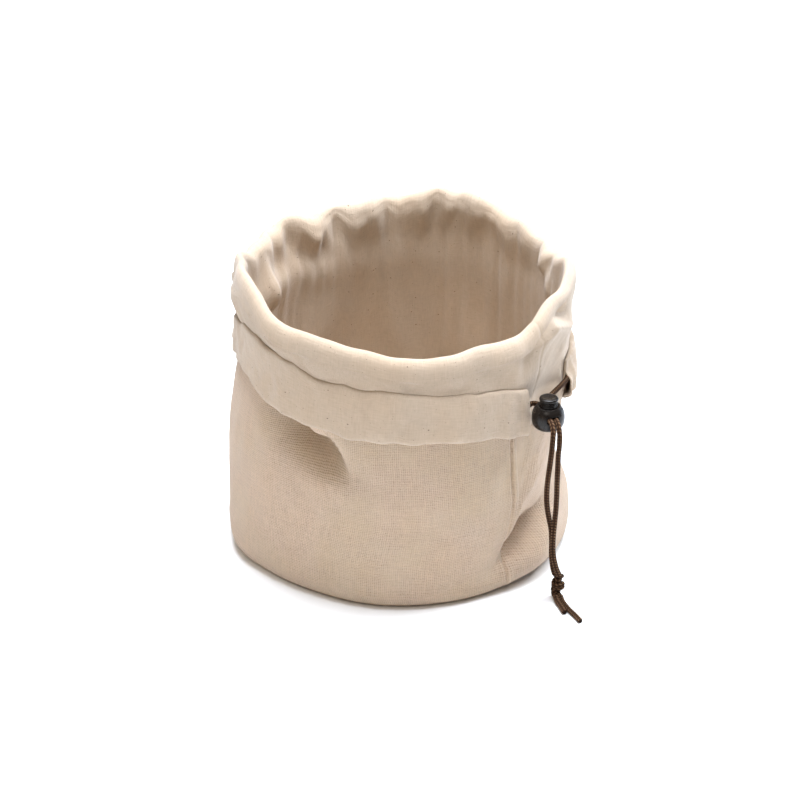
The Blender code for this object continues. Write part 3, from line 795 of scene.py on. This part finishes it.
@dataclass(frozen=True)
class Plastic:
    """Near-black moulded plastic with a satin skin."""

    colour: Colour = (0.0085, 0.0062, 0.0048, 1.0)
    worn: Colour = (0.022, 0.017, 0.013, 1.0)

    def make(self) -> Finish:
        """Make the material."""
        graph = Graph(bpy.data.materials.new("black_plastic"))
        skin, handling = graph.cloud(5200.0, 2.0), graph.cloud(240.0, 3.0)
        edge = graph.node("NewGeometry", output="Pointiness")
        wear = graph.clip(graph.step(edge, 0.52, 0.62) * graph.step(handling, 0.35, 0.70))
        colour = graph.blend(wear * 0.8 + handling * 0.15, self.colour, self.worn)
        return graph.finish(skin * 0.00001 + handling * 0.00002, Base_Color=colour,
                            Roughness=0.18 + 0.14 * handling + 0.06 * skin, Specular_IOR_Level=0.26)


@dataclass(frozen=True)
class Paper:
    """Matt white studio ground."""

    colour: Colour = (0.93, 0.93, 0.93, 1.0)

    def make(self) -> Finish:
        """Make the material."""
        graph = Graph(bpy.data.materials.new("white_ground"))
        tooth = graph.cloud(900.0, 2.0)
        colour = graph.shade(self.colour, 0.99 + 0.01 * tooth)
        return graph.finish(tooth * 0.00001, Base_Color=colour, Roughness=0.95,
                            Specular_IOR_Level=0.1)


# --- The cloths of the bag ---

@dataclass
class LinenWall:
    """The linen wall: one strip whose ends meet in the upright seam, with a hem under the bag."""

    finish: Finish
    columns: int = 420
    foot_rows: int = 15
    rows: int = 102
    crowding: float = 0.82
    groove: float = 0.0026
    groove_wide: float = 0.0005
    ridges: Pair = (0.0008, 0.0003)
    ridge_beside: float = 0.0021
    ridge_wide: float = 0.0012
    strip: float = 0.615
    tall: float = 0.166

    def turns(self, along: Grid, height: Grid) -> Grid:
        """Turn of each column: the cloth starts and ends at the seam, which isn't quite upright."""
        return np.interp(height, *zip(*SEAM_LINE)) + 360 * along

    def foot(self, turn: Grid, share: Grid) -> tuple[Grid, Grid]:
        """Inset from the wall's face and height of the hem and of the rounded corner."""
        half, flat = WALL_THICKNESS / 2, 0.2
        deep, tall = Form.corner(turn)
        angle = np.pi / 2 * np.clip((share - flat) / (1 - flat), 0, 1)
        hem = (HEM_WIDTH - half - deep) * np.clip(1 - share / flat, 0, 1)
        return half + deep * (1 - np.sin(angle)) + hem, half + tall * (1 - np.cos(angle))

    def seam(self, along: Grid, height: Grid) -> Grid:
        """How deep the seam sinks in: a narrow groove with a ridge on each side."""
        beside = np.minimum(along, 1 - along) * self.strip
        ridge = swell(beside - self.ridge_beside, self.ridge_wide)
        ridge = np.where(along < 0.5, *self.ridges) * ridge
        sunk = self.groove * np.exp(-beside / self.groove_wide) - ridge
        return sunk * (1 - 0.7 * swell(height - 0.040, 0.016)) * ease((height - 0.0008) / 0.004)

    def build(self) -> Piece:
        """Lay the wall."""
        cloth = Fabric("linen_wall", self.finish, self.columns, self.rows, WALL_THICKNESS)
        along, up = cloth.shares()
        level = up * self.rows
        climb = np.clip((level - self.foot_rows) / (self.rows - self.foot_rows), 0, 1)
        along = crowd(along, self.crowding)
        turn = self.turns(along, 0.010)
        inset, foot_height = self.foot(turn, np.clip(level / self.foot_rows, 0, 1))
        bottom = WALL_THICKNESS / 2 + Form.corner(turn)[1]
        top = Rim.CROWN_HEIGHT.plain(turn) - WALL_TOP_BELOW_CROWN
        height = np.where(climb > 0, bottom + climb * (top - bottom), foot_height)
        turn = self.turns(along, height)
        tall = np.maximum(height, CORNER_HEIGHT)
        free = ease((height - 0.002) / 0.03) * (1 - ease((height - 0.112) / 0.012))
        creases = sum_of(WALL_CREASES, turn, tall) * ease((height - 0.002) / 0.010)
        ripples = sum_of(WALL_RIPPLES, turn, tall) * (0.25 + 0.75 * free)
        radius = Form.wall(turn, tall) - inset - creases + ripples - self.seam(along, height)
        plain = Form.outer(turn, tall) - inset
        return cloth.lay(at(turn, radius, height), along * self.strip, walked(plain, height))


@dataclass
class CottonLining:
    """The cotton lining: up the inside, over the rim and down outside as the cuff.

    Its flat height, tall, is measured when it is laid.
    """

    finish: Finish
    columns: int = 440
    inside_rows: int = 50
    roll_rows: int = 14
    band_rows: int = 34
    crowding: float = 0.80
    roll_inside: Pair = (0.0034, 0.0060)
    roll_outside: Pair = (0.0054, 0.0102)
    strip: float = 0.600
    tall: float = 0.0
    foot: float = 0.0026
    hem_above_foot: float = 0.002
    free_share: float = 0.66
    stands_off: float = 0.0006
    stands_off_front: float = 0.0022
    ridge: float = 0.0005

    def crown(self, turn: Grid) -> Grid:
        """Height of the lining's middle face on top of the rim."""
        return Rim.CROWN_HEIGHT.at(turn) - LINING_THICKNESS / 2

    def inner_roll(self, turn: Grid) -> tuple[Grid, Grid]:
        """Width and height of the roll's inner half: thick and uneven at the back."""
        back = ease((np.abs(apart(turn, 0)) - 85) / 40)
        size = 0.75 - 0.30 * about(turn, 72, 18) + back * (0.55 + ROLL_RIPPLE.at(turn))
        return self.roll_inside[0] * size, self.roll_inside[1] * size

    def outer_roll(self, turn: Grid) -> tuple[Grid, Grid]:
        """Width and height of the roll's outer half: flat over the toggle."""
        right, left = about(turn, 72, 20), about(turn, -92, 25)
        return (self.roll_outside[0] * (1 - 0.35 * right - 0.45 * left),
                self.roll_outside[1] * (1 - 0.50 * right + 0.20 * left))

    def inside(self, turn: Grid, share: Grid) -> tuple[Grid, Grid]:
        """Radius and height of the inner part, at shares of the way from the base to the roll."""
        wide, tall = self.inner_roll(turn)
        height = self.foot + share * (self.crown(turn) - tall - self.foot)
        clear = np.maximum(height, CORNER_HEIGHT)
        pleats = np.abs(sum_of(LINING_RIPPLES, turn, height)) * (0.3 + ease(height / 0.16))
        creases = sum_of(WALL_CREASES, turn, clear) * ease((height - 0.01) / 0.02)
        lying = (Form.wall(turn, clear) - UNDER_LINING - LINING_THICKNESS / 2 - pleats
                 - Form.corner_inset(turn, height - UNDER_LINING) - np.maximum(creases, 0))
        rolled = Rim.CROWN_RADIUS.at(turn) - wide
        near = ease((share - 0.86) / 0.14)
        below = Rim.CROWN_HEIGHT.at(turn) - height
        back = ease((60 - np.abs(apart(turn, 180))) / 20)
        gathered = sum_of(INSIDE_FOLDS, turn, height) * (1 - 0.5 * near)
        pleated = np.abs(RIM_PLEATS.at(turn, height)) * swell(below - 0.020, 0.022)
        gathered = gathered + pleated * back
        return lying * (1 - near) + rolled * near - gathered, height

    def roll(self, turn: Grid, share: Grid) -> tuple[Grid, Grid]:
        """Radius and height of the roll over the rim, from inside the bag to outside."""
        angle = np.pi * share
        inner = share < 0.5
        inner_tall = self.inner_roll(turn)[1]
        wide, tall = (np.where(inner, first, second)
                      for first, second in zip(self.inner_roll(turn), self.outer_roll(turn)))
        crown = self.crown(turn)
        gathered = 0.5 * sum_of(INSIDE_FOLDS, turn, crown - inner_tall) * np.cos(angle) * inner
        radius = Rim.CROWN_RADIUS.at(turn) - wide * np.cos(angle) - gathered
        return radius, crown - tall * (1 - np.sin(angle))

    def band(self, turn: Grid, share: Grid) -> tuple[Grid, Grid]:
        """Radius and height of the outer part, at shares of the way down to the cuff's hem."""
        wide, tall = self.outer_roll(turn)
        high, top = self.crown(turn) - tall, Rim.CASING_TOP.at(turn)
        low = Rim.CASING_FOOT.at(turn) + self.hem_above_foot
        upper = np.clip(1 - share / self.free_share, 0, 1) ** 1.6
        lower = np.clip((share - self.free_share) / (1 - self.free_share), 0, 1) ** 1.4
        height = top + (high - top) * upper + (low - top) * lower
        over = height - top
        lying = Form.cuff(turn, height) + CLEARANCE + LINING_THICKNESS / 2
        rolled = Rim.CROWN_RADIUS.at(turn) + wide
        middle = (CASING_LEFT_END + CASING_RIGHT_END) / 2
        covered = ease((np.abs(apart(turn, middle)) - 13.0) / 1.5)
        stand = ((self.stands_off + self.stands_off_front * about(turn, -2, 52))
                 * (1 - covered * (1 - ease((over - 0.0002) / 0.0009))))
        puffs = (0.8 * sum_of(BAND_RIPPLES, turn, height) * ease(over / 0.004)
                 * (1 - ease((height - high + 0.002) / 0.002)))
        blend = (rolled - lying - stand) * ease(over / (high - top))
        return lying + stand + blend - sum_of(BAND_FOLDS, turn, height) + puffs, height

    def build(self) -> Piece:
        """Lay the lining, whose parts follow each other row by row."""
        rows = self.inside_rows + self.roll_rows + self.band_rows
        cloth = Fabric("cotton_lining", self.finish, self.columns, rows, LINING_THICKNESS)
        along = crowd(cloth.shares()[0][0], self.crowding)
        turn = LINING_SEAM + 360 * along
        laid = [self.inside(turn, np.zeros_like(turn))]
        for part, count in ((self.inside, self.inside_rows), (self.roll, self.roll_rows),
                            (self.band, self.band_rows)):
            laid += [part(turn, np.full_like(turn, (row + 1) / count)) for row in range(count)]
        radius, height = np.array(laid).swapaxes(0, 1)
        outside = np.sign(np.arange(rows + 1) - self.inside_rows - self.roll_rows / 2)[:, None]
        beside = np.minimum(along, 1 - along) * self.strip
        radius = radius - outside * self.ridge * swell(beside, 2 * self.ridge)
        up = walked(radius, height).mean(axis=1, keepdims=True)
        self.tall = float(up[-1, 0])
        return cloth.lay(at(turn, radius, height), along * self.strip, up)


@dataclass
class CordCasing:
    """The casing of the draw cord: a flat tunnel of cotton on the cuff, open at both ends.

    Its outline is the cross-section from the inner foot round over the top: distance off the cuff
    in millimetres, and share of the casing's height.
    """

    finish: Finish
    columns: int = 520
    rows: int = 64
    crowding: float = 0.80
    right_end: float = 69.0
    strip: float = 0.545
    tall: float = 0.068
    hem: float = 0.0055
    inner: float = 0.0006
    outline: tuple[Pair, ...] = (
        (0.6, 0.06), (0.6, 0.30), (0.6, 0.58), (0.6, 0.82), (0.6, 0.95), (1.2, 1.00), (2.2, 1.00),
        (3.0, 0.965), (3.4, 0.88), (3.9, 0.72), (4.3, 0.55), (4.4, 0.38), (4.2, 0.20), (3.7, 0.06),
        (2.6, 0.00), (1.3, 0.00),
    )
    past_left_end: float = 1.6
    thick: float = 0.0044
    slant: float = 150.0
    lean: float = 5.0
    flattened: float = 0.0009
    hem_step: float = 0.0002
    gathered_over: float = 16.0
    foot_lift: float = 0.0030
    top_drop: float = 0.0020
    gathered_out: float = 0.0008
    pleats: Ripple = Ripple(43, 0.0008, (0.004, 0.010), 0.060)

    def build(self) -> Piece:
        """Lay the casing. The cord gathers its right end and draws it in."""
        cloth = Fabric("cord_casing", self.finish, self.columns, self.rows, CASING_THICKNESS)
        along, up = cloth.shares()
        along = crowd(along, self.crowding)
        section = around(np.array(self.outline), up[:, 0] * 360)
        off, share = section[:, :1] / 1000, section[:, 1:]
        left_end = 360 + self.past_left_end + CASING_LEFT_END + self.slant * (self.thick - off)
        right_end = self.right_end + self.lean * share
        turn = right_end + (left_end - right_end) * along
        gathered = 1 - ease((turn - self.right_end) / self.gathered_over)
        low = Rim.CASING_FOOT.at(turn) + self.foot_lift * gathered
        height = low + share * (Rim.CASING_TOP.at(turn) - self.top_drop * gathered - low)
        near_end = (1 - ease((turn - right_end) / 7)) * ease((share - 0.45) / 0.3)
        off = off - 0.85 * near_end * np.maximum(off - self.flattened, 0)
        outer = np.clip((off - self.inner) / 0.003, 0, 1)
        end = np.minimum(along, 1 - along) * self.strip - self.hem
        hem = self.hem_step * (1 - ease(end / 0.0008) - swell(end, 0.0007))
        puffs = sum_of(CASING_RIPPLES, turn, height) + self.pleats.at(turn, height) * gathered
        lying = Form.outer(turn, height) + CLEARANCE + LINING_THICKNESS
        soft = puffs + hem * (1 - gathered) + self.gathered_out * gathered
        radius = lying + off + soft * outer
        return cloth.lay(at(turn, radius, height), along * self.strip, up * self.tall)


@dataclass
class BasePanel:
    """Round of cloth at the bottom of the bag. Across is the flat round's diameter; it is not used.
    """

    name: str
    finish: Finish
    across: float
    inset: float
    low: float
    thickness: float
    sag: float = 0.0
    follows_corner: bool = False
    rings: int = 40
    columns: int = 180

    def build(self) -> Piece:
        """Lay the round: rings of points from its middle to its edge."""
        cloth = Fabric(self.name, self.finish, self.columns, self.rings, self.thickness)
        along, share = cloth.shares()
        turn = 360 * along
        edge = Form.wall(turn, np.full_like(turn, CORNER_HEIGHT)) - self.inset
        if self.follows_corner:
            edge = edge - Form.corner_inset(turn, 0.0007)
        puffs = Ripple(61, self.sag, (0.05, 0.2), 0.05).at(turn, share * WAIST)
        puffs = puffs * share * (1 - share) * 4
        places = at(turn, edge * share, self.low + self.thickness / 2 + np.abs(puffs))
        return cloth.lay(places, places[..., 0], places[..., 1])


# --- Cord ---

# The routes of the solids' cord
GAP_ROUTE_LEFT = np.array([
    (69.8, -70.6, 115.3), (71.4, -66.9, 115.4), (73, -65.4, 115.5), (74.9, -65.2, 115.5),
    (76.2, -65.9, 115.5),
]) / 1000
GAP_ROUTE_RIGHT = np.array([
    (89.9, -43.2, 114.6), (84.9, -53, 114.9), (81.2, -59.5, 115.2), (79.9, -63.2, 115.4),
]) / 1000
LEFT_STRAND = np.array([
    (82.9, -89.6, 114.9), (83.3, -91.8, 112.9), (83.3, -93, 109.5), (83, -93.2, 104),
    (82.5, -92.6, 96), (81.3, -90.9, 80), (81.2, -89.7, 70), (81.8, -88.4, 62), (83.2, -86.8, 54),
    (84.7, -85.5, 46), (85.3, -84.5, 37), (85.5, -83.8, 29), (86.4, -82.9, 21), (87.8, -82.9, 14.8),
]) / 1000
RIGHT_STRAND = np.array([
    (86.1, -88.7, 114.9), (86.6, -90.9, 112.9), (86.9, -92.2, 109.5), (86.9, -92.5, 104),
    (86.6, -92, 96), (86.6, -90.6, 80), (86.7, -89.8, 70), (86.6, -89.4, 62), (86.2, -89.1, 54),
    (85.8, -88.9, 46), (85.8, -88.1, 37), (86.5, -87.3, 29), (88.4, -86.1, 21), (90.7, -84.8, 14.8),
]) / 1000
LONG_TAIL = np.array([
    (91.2, -86.9, 3.4), (92.1, -90.3, 1.8), (93.5, -94.1, 1.5), (95.6, -99.1, 1.5),
    (98.3, -104.3, 1.5), (101.1, -110.3, 1.5),
]) / 1000
SHORT_TAIL = np.array([
    (88.2, -87.4, 3.4), (89.3, -91.1, 1.8), (90.9, -95.3, 1.5), (92.8, -101.8, 1.5),
]) / 1000


@dataclass(frozen=True)
class ToggleFrame:
    """The toggle's own axes, and the places of the two strands in its hole."""

    place: Place = TOGGLE_PLACE
    turn: float = TOGGLE_TURN

    def mouth(self, side: int, along: float) -> Grid:
        """Point of a strand so far out along the hole: side -1 is the left strand, 1 the right."""
        across = side * STRAND_SPACING / 2
        out, sideways = at(self.turn, 1.0, 0.0), at(self.turn + 90, 1.0, 0.0)
        middle = np.array(self.place) + (0.0, 0.0, TOGGLE_HOLE_HEIGHT)
        return middle + out * along + sideways * across

    def matrix(self) -> Matrix:
        """Where the toggle stands."""
        return Matrix.Translation(self.place) @ Matrix.Rotation(np.radians(self.turn), 4, "Z")


@dataclass
class CordPiece:
    """Round braided cord that follows a route."""

    name: str
    finish: Finish
    route: Grid
    diameter: float = CORD_DIAMETER
    sides: int = 24
    end_width: float = 0.80

    def rings(self) -> tuple[Grid, Grid]:
        """Two directions across the cord at every point, turned as little as possible."""
        ahead = np.gradient(self.route, axis=0)
        ahead /= np.linalg.norm(ahead, axis=1)[:, None]
        across = np.cross(ahead[0], (0.3, 0.2, 0.9))
        first = []
        for way in ahead:
            across = across - way * across.dot(way)
            across = across / np.linalg.norm(across)
            first.append(across)
        return np.array(first), np.cross(ahead, first)

    def build(self) -> Piece:
        """Lay the cord as a closed tube."""
        first, second = self.rings()
        cloth = Fabric(self.name, self.finish, self.sides, len(self.route) - 1)
        along, _ = cloth.shares()
        angle = 2 * np.pi * along[..., None]
        radius = np.full(len(self.route), self.diameter / 2)
        radius[[0, -1]] *= self.end_width
        ring = np.cos(angle) * first[:, None] + np.sin(angle) * second[:, None]
        places = self.route[:, None] + ring * radius[:, None, None]
        piece = cloth.lay(places, along * np.pi * CORD_DIAMETER, walked(*self.route.T)[:, None])
        shape = bmesh.new()
        shape.from_mesh(piece.data)
        bmesh.ops.edgeloop_fill(shape, edges=[edge for edge in shape.edges if edge.is_boundary])
        bmesh.ops.recalc_face_normals(shape, faces=shape.faces)
        shape.to_mesh(piece.data)
        shape.free()
        return piece


@dataclass
class DrawCord:
    """The whole draw cord: held in the casing, hanging from the toggle, knotted, with two tails."""

    finish: Finish
    toggle: ToggleFrame
    fine: float = 0.0006
    knot_turns: float = 1.4
    knot_cord: float = 0.0026
    knot_core: float = 0.0036

    def held_route(self) -> Grid:
        """From the toggle's back round through the casing to the toggle again."""
        turn = np.linspace(CASING_RIGHT_END, 360 + CASING_LEFT_END, 46)
        height = (Rim.CASING_FOOT.plain(turn) + Rim.CASING_TOP.plain(turn)) / 2
        radius = Form.outer(turn, height) + CLEARANCE + LINING_THICKNESS + CORD_OFF_BAND
        near = JOINT_BEHIND_TOGGLE + CORD_JOINT
        away = near + CORD_DIAMETER / 2
        right, left = ([self.toggle.mouth(side, -near), self.toggle.mouth(side, -away)]
                       for side in (1, -1))
        return smooth_route([*right, *reversed(GAP_ROUTE_RIGHT), *at(turn, radius, height),
                             *GAP_ROUTE_LEFT, *reversed(left)], 0.0012)

    def strand_route(self, side: int, route: Grid) -> Grid:
        """From the toggle's back through its hole down to the knot."""
        inside = [self.toggle.mouth(side, along)
                  for along in (-JOINT_BEHIND_TOGGLE, 0.0, TOGGLE_RADIUS)]
        return smooth_route([*inside, *route], self.fine)

    def knot(self) -> Piece:
        """The overhand knot: both strands wind round each other on a thick core."""
        centre, wound = np.array(KNOT_CENTRE), self.knot_cord
        share = np.linspace(0, 1, 15)
        pieces = []
        for side, begin, top, bottom in ((-1, 1.1, LEFT_STRAND[-1], SHORT_TAIL[0]),
                                         (1, 0.6, RIGHT_STRAND[-1], LONG_TAIL[0])):
            angle = 2 * np.pi * self.knot_turns * share + begin
            climb = 0.0034 - 0.0068 * share + side * 0.0011 + 0.0010 * np.cos(angle)
            coil = centre + np.stack([wound * np.cos(angle), wound * np.sin(angle), climb], -1)
            route = smooth_route([top, *coil, bottom], 0.0005)
            pieces.append(CordPiece(f"knot_wrap_{side}", self.finish, route, wound, 20).build())
        core = smooth_route([centre + (0, 0, 0.0052), centre, centre - (0, 0, 0.0046)], 0.001)
        pieces.append(CordPiece("knot_core", self.finish, core, self.knot_core, 16).build())
        shape = bmesh.new()
        shape.loops.layers.uv.new("cloth")
        for piece in pieces:
            shape.from_mesh(piece.data)
            bpy.data.objects.remove(piece)
        return add_piece("overhand_knot", shape, self.finish)

    def build(self) -> list[Piece]:
        """Returns:
            The pieces.
        """
        held = CordPiece("draw_cord", self.finish, self.held_route(), sides=18)
        pieces = [held.build(), self.knot()]
        for name, points in (("tail_long", LONG_TAIL), ("tail_short", SHORT_TAIL)):
            route = smooth_route(points, self.fine)
            pieces.append(CordPiece(name, self.finish, route).build())
        for piece, node in zip(pieces, ("cord_in_casing", "cord_knot", "cord_tail_long",
                                        "cord_tail_short")):
            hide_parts(node)
        for name, node, side, points in (("strand_left", "cord_left", -1, LEFT_STRAND),
                                         ("strand_right", "cord_right", 1, RIGHT_STRAND)):
            route = self.strand_route(side, points)
            piece = CordPiece(name, self.finish, route).build()
            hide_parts(node)
            float(walked(*route.T)[-1])
            pieces.append(piece)
        return pieces


# --- Toggle ---

@dataclass
class Toggle:
    """Spring cord lock: a round barrel, and a plunger whose ribbed button stands out of it."""

    finish: Finish
    frame: ToggleFrame
    sides: int = 72
    hole: Pair = (0.0070, 0.0042)
    hole_corner: float = 0.0011
    plunger_hole_wide: float = 0.0069
    plunger_radius: float = 0.0050
    rib: float = 0.0005
    travel: float = 0.0030
    grip: float = 0.0003
    soft_edge: float = 0.00014

    def turned(self, profile: Sequence[Pair]) -> bmesh.types.BMesh:
        """Turn a profile of (radius, height) round the toggle's axis.

        Args:
            profile: its corners in millimetres, from the bottom to the top on the axis.

        Returns:
            The closed shape, standing at the origin.
        """
        shape = bmesh.new()
        corners = [shape.verts.new((radius / 1000, 0.0, height / 1000))
                   for radius, height in profile]
        edges = [shape.edges.new(pair) for pair in zip(corners, corners[1:])]
        bmesh.ops.spin(shape, geom=corners + edges, cent=(0, 0, 0), axis=(0, 0, 1),
                       angle=2 * np.pi, steps=self.sides, use_merge=True)
        bmesh.ops.remove_doubles(shape, verts=shape.verts, dist=0.00001)
        bmesh.ops.recalc_face_normals(shape, faces=shape.faces)
        return shape

    def cutter(self, wide: float, tall: float, middle: float) -> Piece:
        """Cutter for a hole with rounded corners along the toggle's Y axis."""
        shape = bmesh.new()
        bmesh.ops.create_cube(shape, size=1.0)
        bmesh.ops.scale(shape, verts=shape.verts, vec=(wide, 0.05, tall))
        bmesh.ops.translate(shape, verts=shape.verts, vec=(0, 0, middle))
        long_edges = [edge for edge in shape.edges
                      if abs(edge.verts[0].co.y - edge.verts[1].co.y) > 0.01]
        bmesh.ops.bevel(shape, geom=long_edges, offset=self.hole_corner, segments=5, profile=0.5,
                        affect="EDGES", material=-1)
        return add_piece("cutter", shape, self.finish)

    def cut(self, name: str, profile: Sequence[Pair], cutter: Piece) -> Piece:
        """Turn a piece, cut its hole out, soften its edges and set it in its place.

        Args:
            name: the piece's name.
            profile: what is turned.
            cutter: what is cut out of it, which is removed.

        Returns:
            The finished piece.
        """
        piece = add_piece(name, self.turned(profile), self.finish)
        piece.modifiers.new("Hole", "BOOLEAN").object = cutter
        bevel = piece.modifiers.new("Soft edges", "BEVEL")
        bevel.width, bevel.segments, bevel.angle_limit = self.soft_edge, 2, np.radians(42)
        graph = bpy.context.evaluated_depsgraph_get()
        mesh = bpy.data.meshes.new_from_object(piece.evaluated_get(graph))
        piece.modifiers.clear()
        bpy.data.objects.remove(cutter)
        mesh.transform(self.frame.matrix())
        mesh.name = name
        piece.data = mesh
        mesh.shade_smooth()
        mesh.set_sharp_from_angle(angle=np.radians(50))
        return piece

    def barrel(self) -> Piece:
        """The barrel, with its socket for the plunger and a low collar round it."""
        side = smooth_route([(4.6, 0.2), (7.1, 1.1), (8.6, 3.0), (9.2, 5.8), (9.1, 8.8),
                             (8.3, 11.5), (7.2, 13.1)], 0.6)
        collar = [(6.9, 13.4), (6.7, 13.9), (6.3, 14.0), (5.6, 14.0), (5.3, 13.8), (5.3, 2.0),
                  (0.0, 2.0)]
        cutter = self.cutter(*self.hole, TOGGLE_HOLE_HEIGHT)
        return self.cut("toggle_barrel", [(0.0, 0.0), (4.0, 0.0), *side, *collar], cutter)

    def button(self) -> Piece:
        """The plunger: its ribbed button shows above the barrel."""
        low_edge = TOGGLE_HOLE_HEIGHT - CORD_DIAMETER / 2 - self.grip
        tall = CORD_DIAMETER + 2 * self.grip + self.travel
        radius, groove = (1000 * (self.plunger_radius - depth) for depth in (0, self.rib))
        bottom = low_edge * 1000 - 1.4
        profile = [(0.0, bottom), (radius, bottom), (radius, 14.8)]
        for foot in (14.8, 15.8, 16.8):
            profile += [(groove, foot + 0.2), (groove, foot + 0.5), (radius, foot + 0.7),
                        (radius, foot + 1.0)]
        profile[-2:] = [(5.0, 17.2), (5.2, 17.5)]
        profile += [(5.3, 18.0), (5.1, 18.7), (4.6, 19.05), (3.7, 19.2), (3.1, 19.08), (2.0, 18.88),
                    (0.0, 18.8)]
        cutter = self.cutter(self.plunger_hole_wide, tall, low_edge + tall / 2)
        return self.cut("toggle_plunger", profile, cutter)


# --- Studio ---

@dataclass(frozen=True)
class Lamp:
    """Soft round light that looks at the bag."""

    name: str
    place: Place
    size: float
    power: float
    colour: Place

    def hang(self, target: Place = (0.0, 0.0, 0.09)) -> None:
        """Hang it."""
        data = bpy.data.lights.new(self.name, "AREA")
        data.shape, data.size, data.energy, data.color = "DISK", self.size, self.power, self.colour
        lamp = link(self.name, data)
        lamp.location = self.place
        way = Vector(target) - Vector(self.place)
        lamp.rotation_euler = way.to_track_quat("-Z", "Y").to_euler()


@dataclass
class Studio:
    """Camera, ground and lights."""

    camera_place: Place = (0.0, -1.1478, 0.6933)
    camera_tilt: float = 62.0
    lens: float = 99.74
    ground: float = 6.0
    sky_low: float = 0.06
    sky_high: float = 0.12
    sky_colour: Colour = (1.0, 0.92, 0.82, 1.0)
    lamps: tuple[Lamp, ...] = (
        Lamp("overhead", (0.10, 0.15, 1.90), 1.2, 59.0, (0.90, 0.97, 1.08)),
        Lamp("top", (0.00, 0.05, 0.95), 0.8, 7.0, (0.92, 0.98, 1.06)),
        Lamp("right", (1.00, 0.35, 1.30), 0.6, 15.0, (0.94, 0.99, 1.06)),
        Lamp("left", (-1.30, 0.20, 0.90), 0.6, 2.0, (1.0, 0.93, 0.84)),
        Lamp("low_right", (1.20, 0.55, 0.22), 0.5, 2.1, (0.74, 0.91, 1.12)),
        Lamp("low_left", (-0.85, -1.00, 0.26), 0.5, 0.9, (1.0, 0.80, 0.58)),
        Lamp("front", (-0.40, -1.15, 1.80), 1.0, 9.3, (1.0, 0.93, 0.84)),
    )

    def camera(self) -> None:
        """Set the camera at the angle of the picture."""
        data = bpy.data.cameras.new("camera")
        data.lens, data.sensor_width = self.lens, 36.0
        camera = link("camera", data)
        camera.location = self.camera_place
        camera.rotation_euler = (np.radians(self.camera_tilt), 0.0, 0.0)
        bpy.context.scene.camera = camera

    def floor(self) -> None:
        """Lay the white ground."""
        shape = bmesh.new()
        bmesh.ops.create_grid(shape, x_segments=1, y_segments=1, size=self.ground / 2)
        add_piece("ground", shape, Paper().make())

    def sky(self) -> None:
        """Surround the bag with soft light that is stronger from above than from the sides."""
        graph = Graph(bpy.data.worlds.new("studio"))
        up = graph.part(graph.node("TexCoord", output="Generated"), "Z")
        strength = self.sky_low + (self.sky_high - self.sky_low) * graph.step(up, -0.1, 1.0)
        glow = graph.node("Background", {"Color": self.sky_colour, "Strength": strength})
        graph.node("OutputWorld", {"Surface": glow})
        bpy.context.scene.world = graph.owner

    def build(self) -> None:
        """Set up the whole studio."""
        self.camera()
        self.floor()
        self.sky()
        for lamp in self.lamps:
            lamp.hang()
        bpy.context.scene.view_settings.view_transform = "Standard"


# --- The dressed bag ---

def dress_cloths(linen: Finish, cotton: Finish) -> None:
    """Args:
        linen: the wall's finish.
        cotton: the lining's finish.
    """
    outer_base = BasePanel("linen_base", linen, 0.185, HEM_WIDTH + 0.0003, 0.0, WALL_THICKNESS)
    lining_base = BasePanel("cotton_base", cotton, 0.190, UNDER_LINING + 0.0006, UNDER_LINING,
                            LINING_THICKNESS, 0.0004, follows_corner=True)
    for node, cloth in (("outer_wall", LinenWall(linen)), ("lining", CottonLining(cotton)),
                        ("casing", CordCasing(cotton)), ("outer_base", outer_base),
                        ("lining_base", lining_base)):
        piece = cloth.build()
        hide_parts(node)
        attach(piece, "bag")


def dress_cord_and_toggle() -> None:
    """Lay the cord and build the toggle."""
    toggle_frame = ToggleFrame()
    for piece in DrawCord(Braid().make(), toggle_frame).build():
        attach(piece, "bag")
    toggle = Toggle(Plastic().make(), toggle_frame)
    for piece, node, body in ((toggle.barrel(), "toggle_body", "bag"),
                              (toggle.button(), "toggle_button", "button")):
        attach(piece, body)
        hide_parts(node)


def main() -> None:
    """Build the studio and dress the bag."""
    logging.basicConfig(level=logging.INFO, format="%(message)s")
    Studio().build()
    dress_cord_and_toggle()
    dress_cloths(Linen().make(), Cotton().make())


if __name__ == "__main__":
    main()
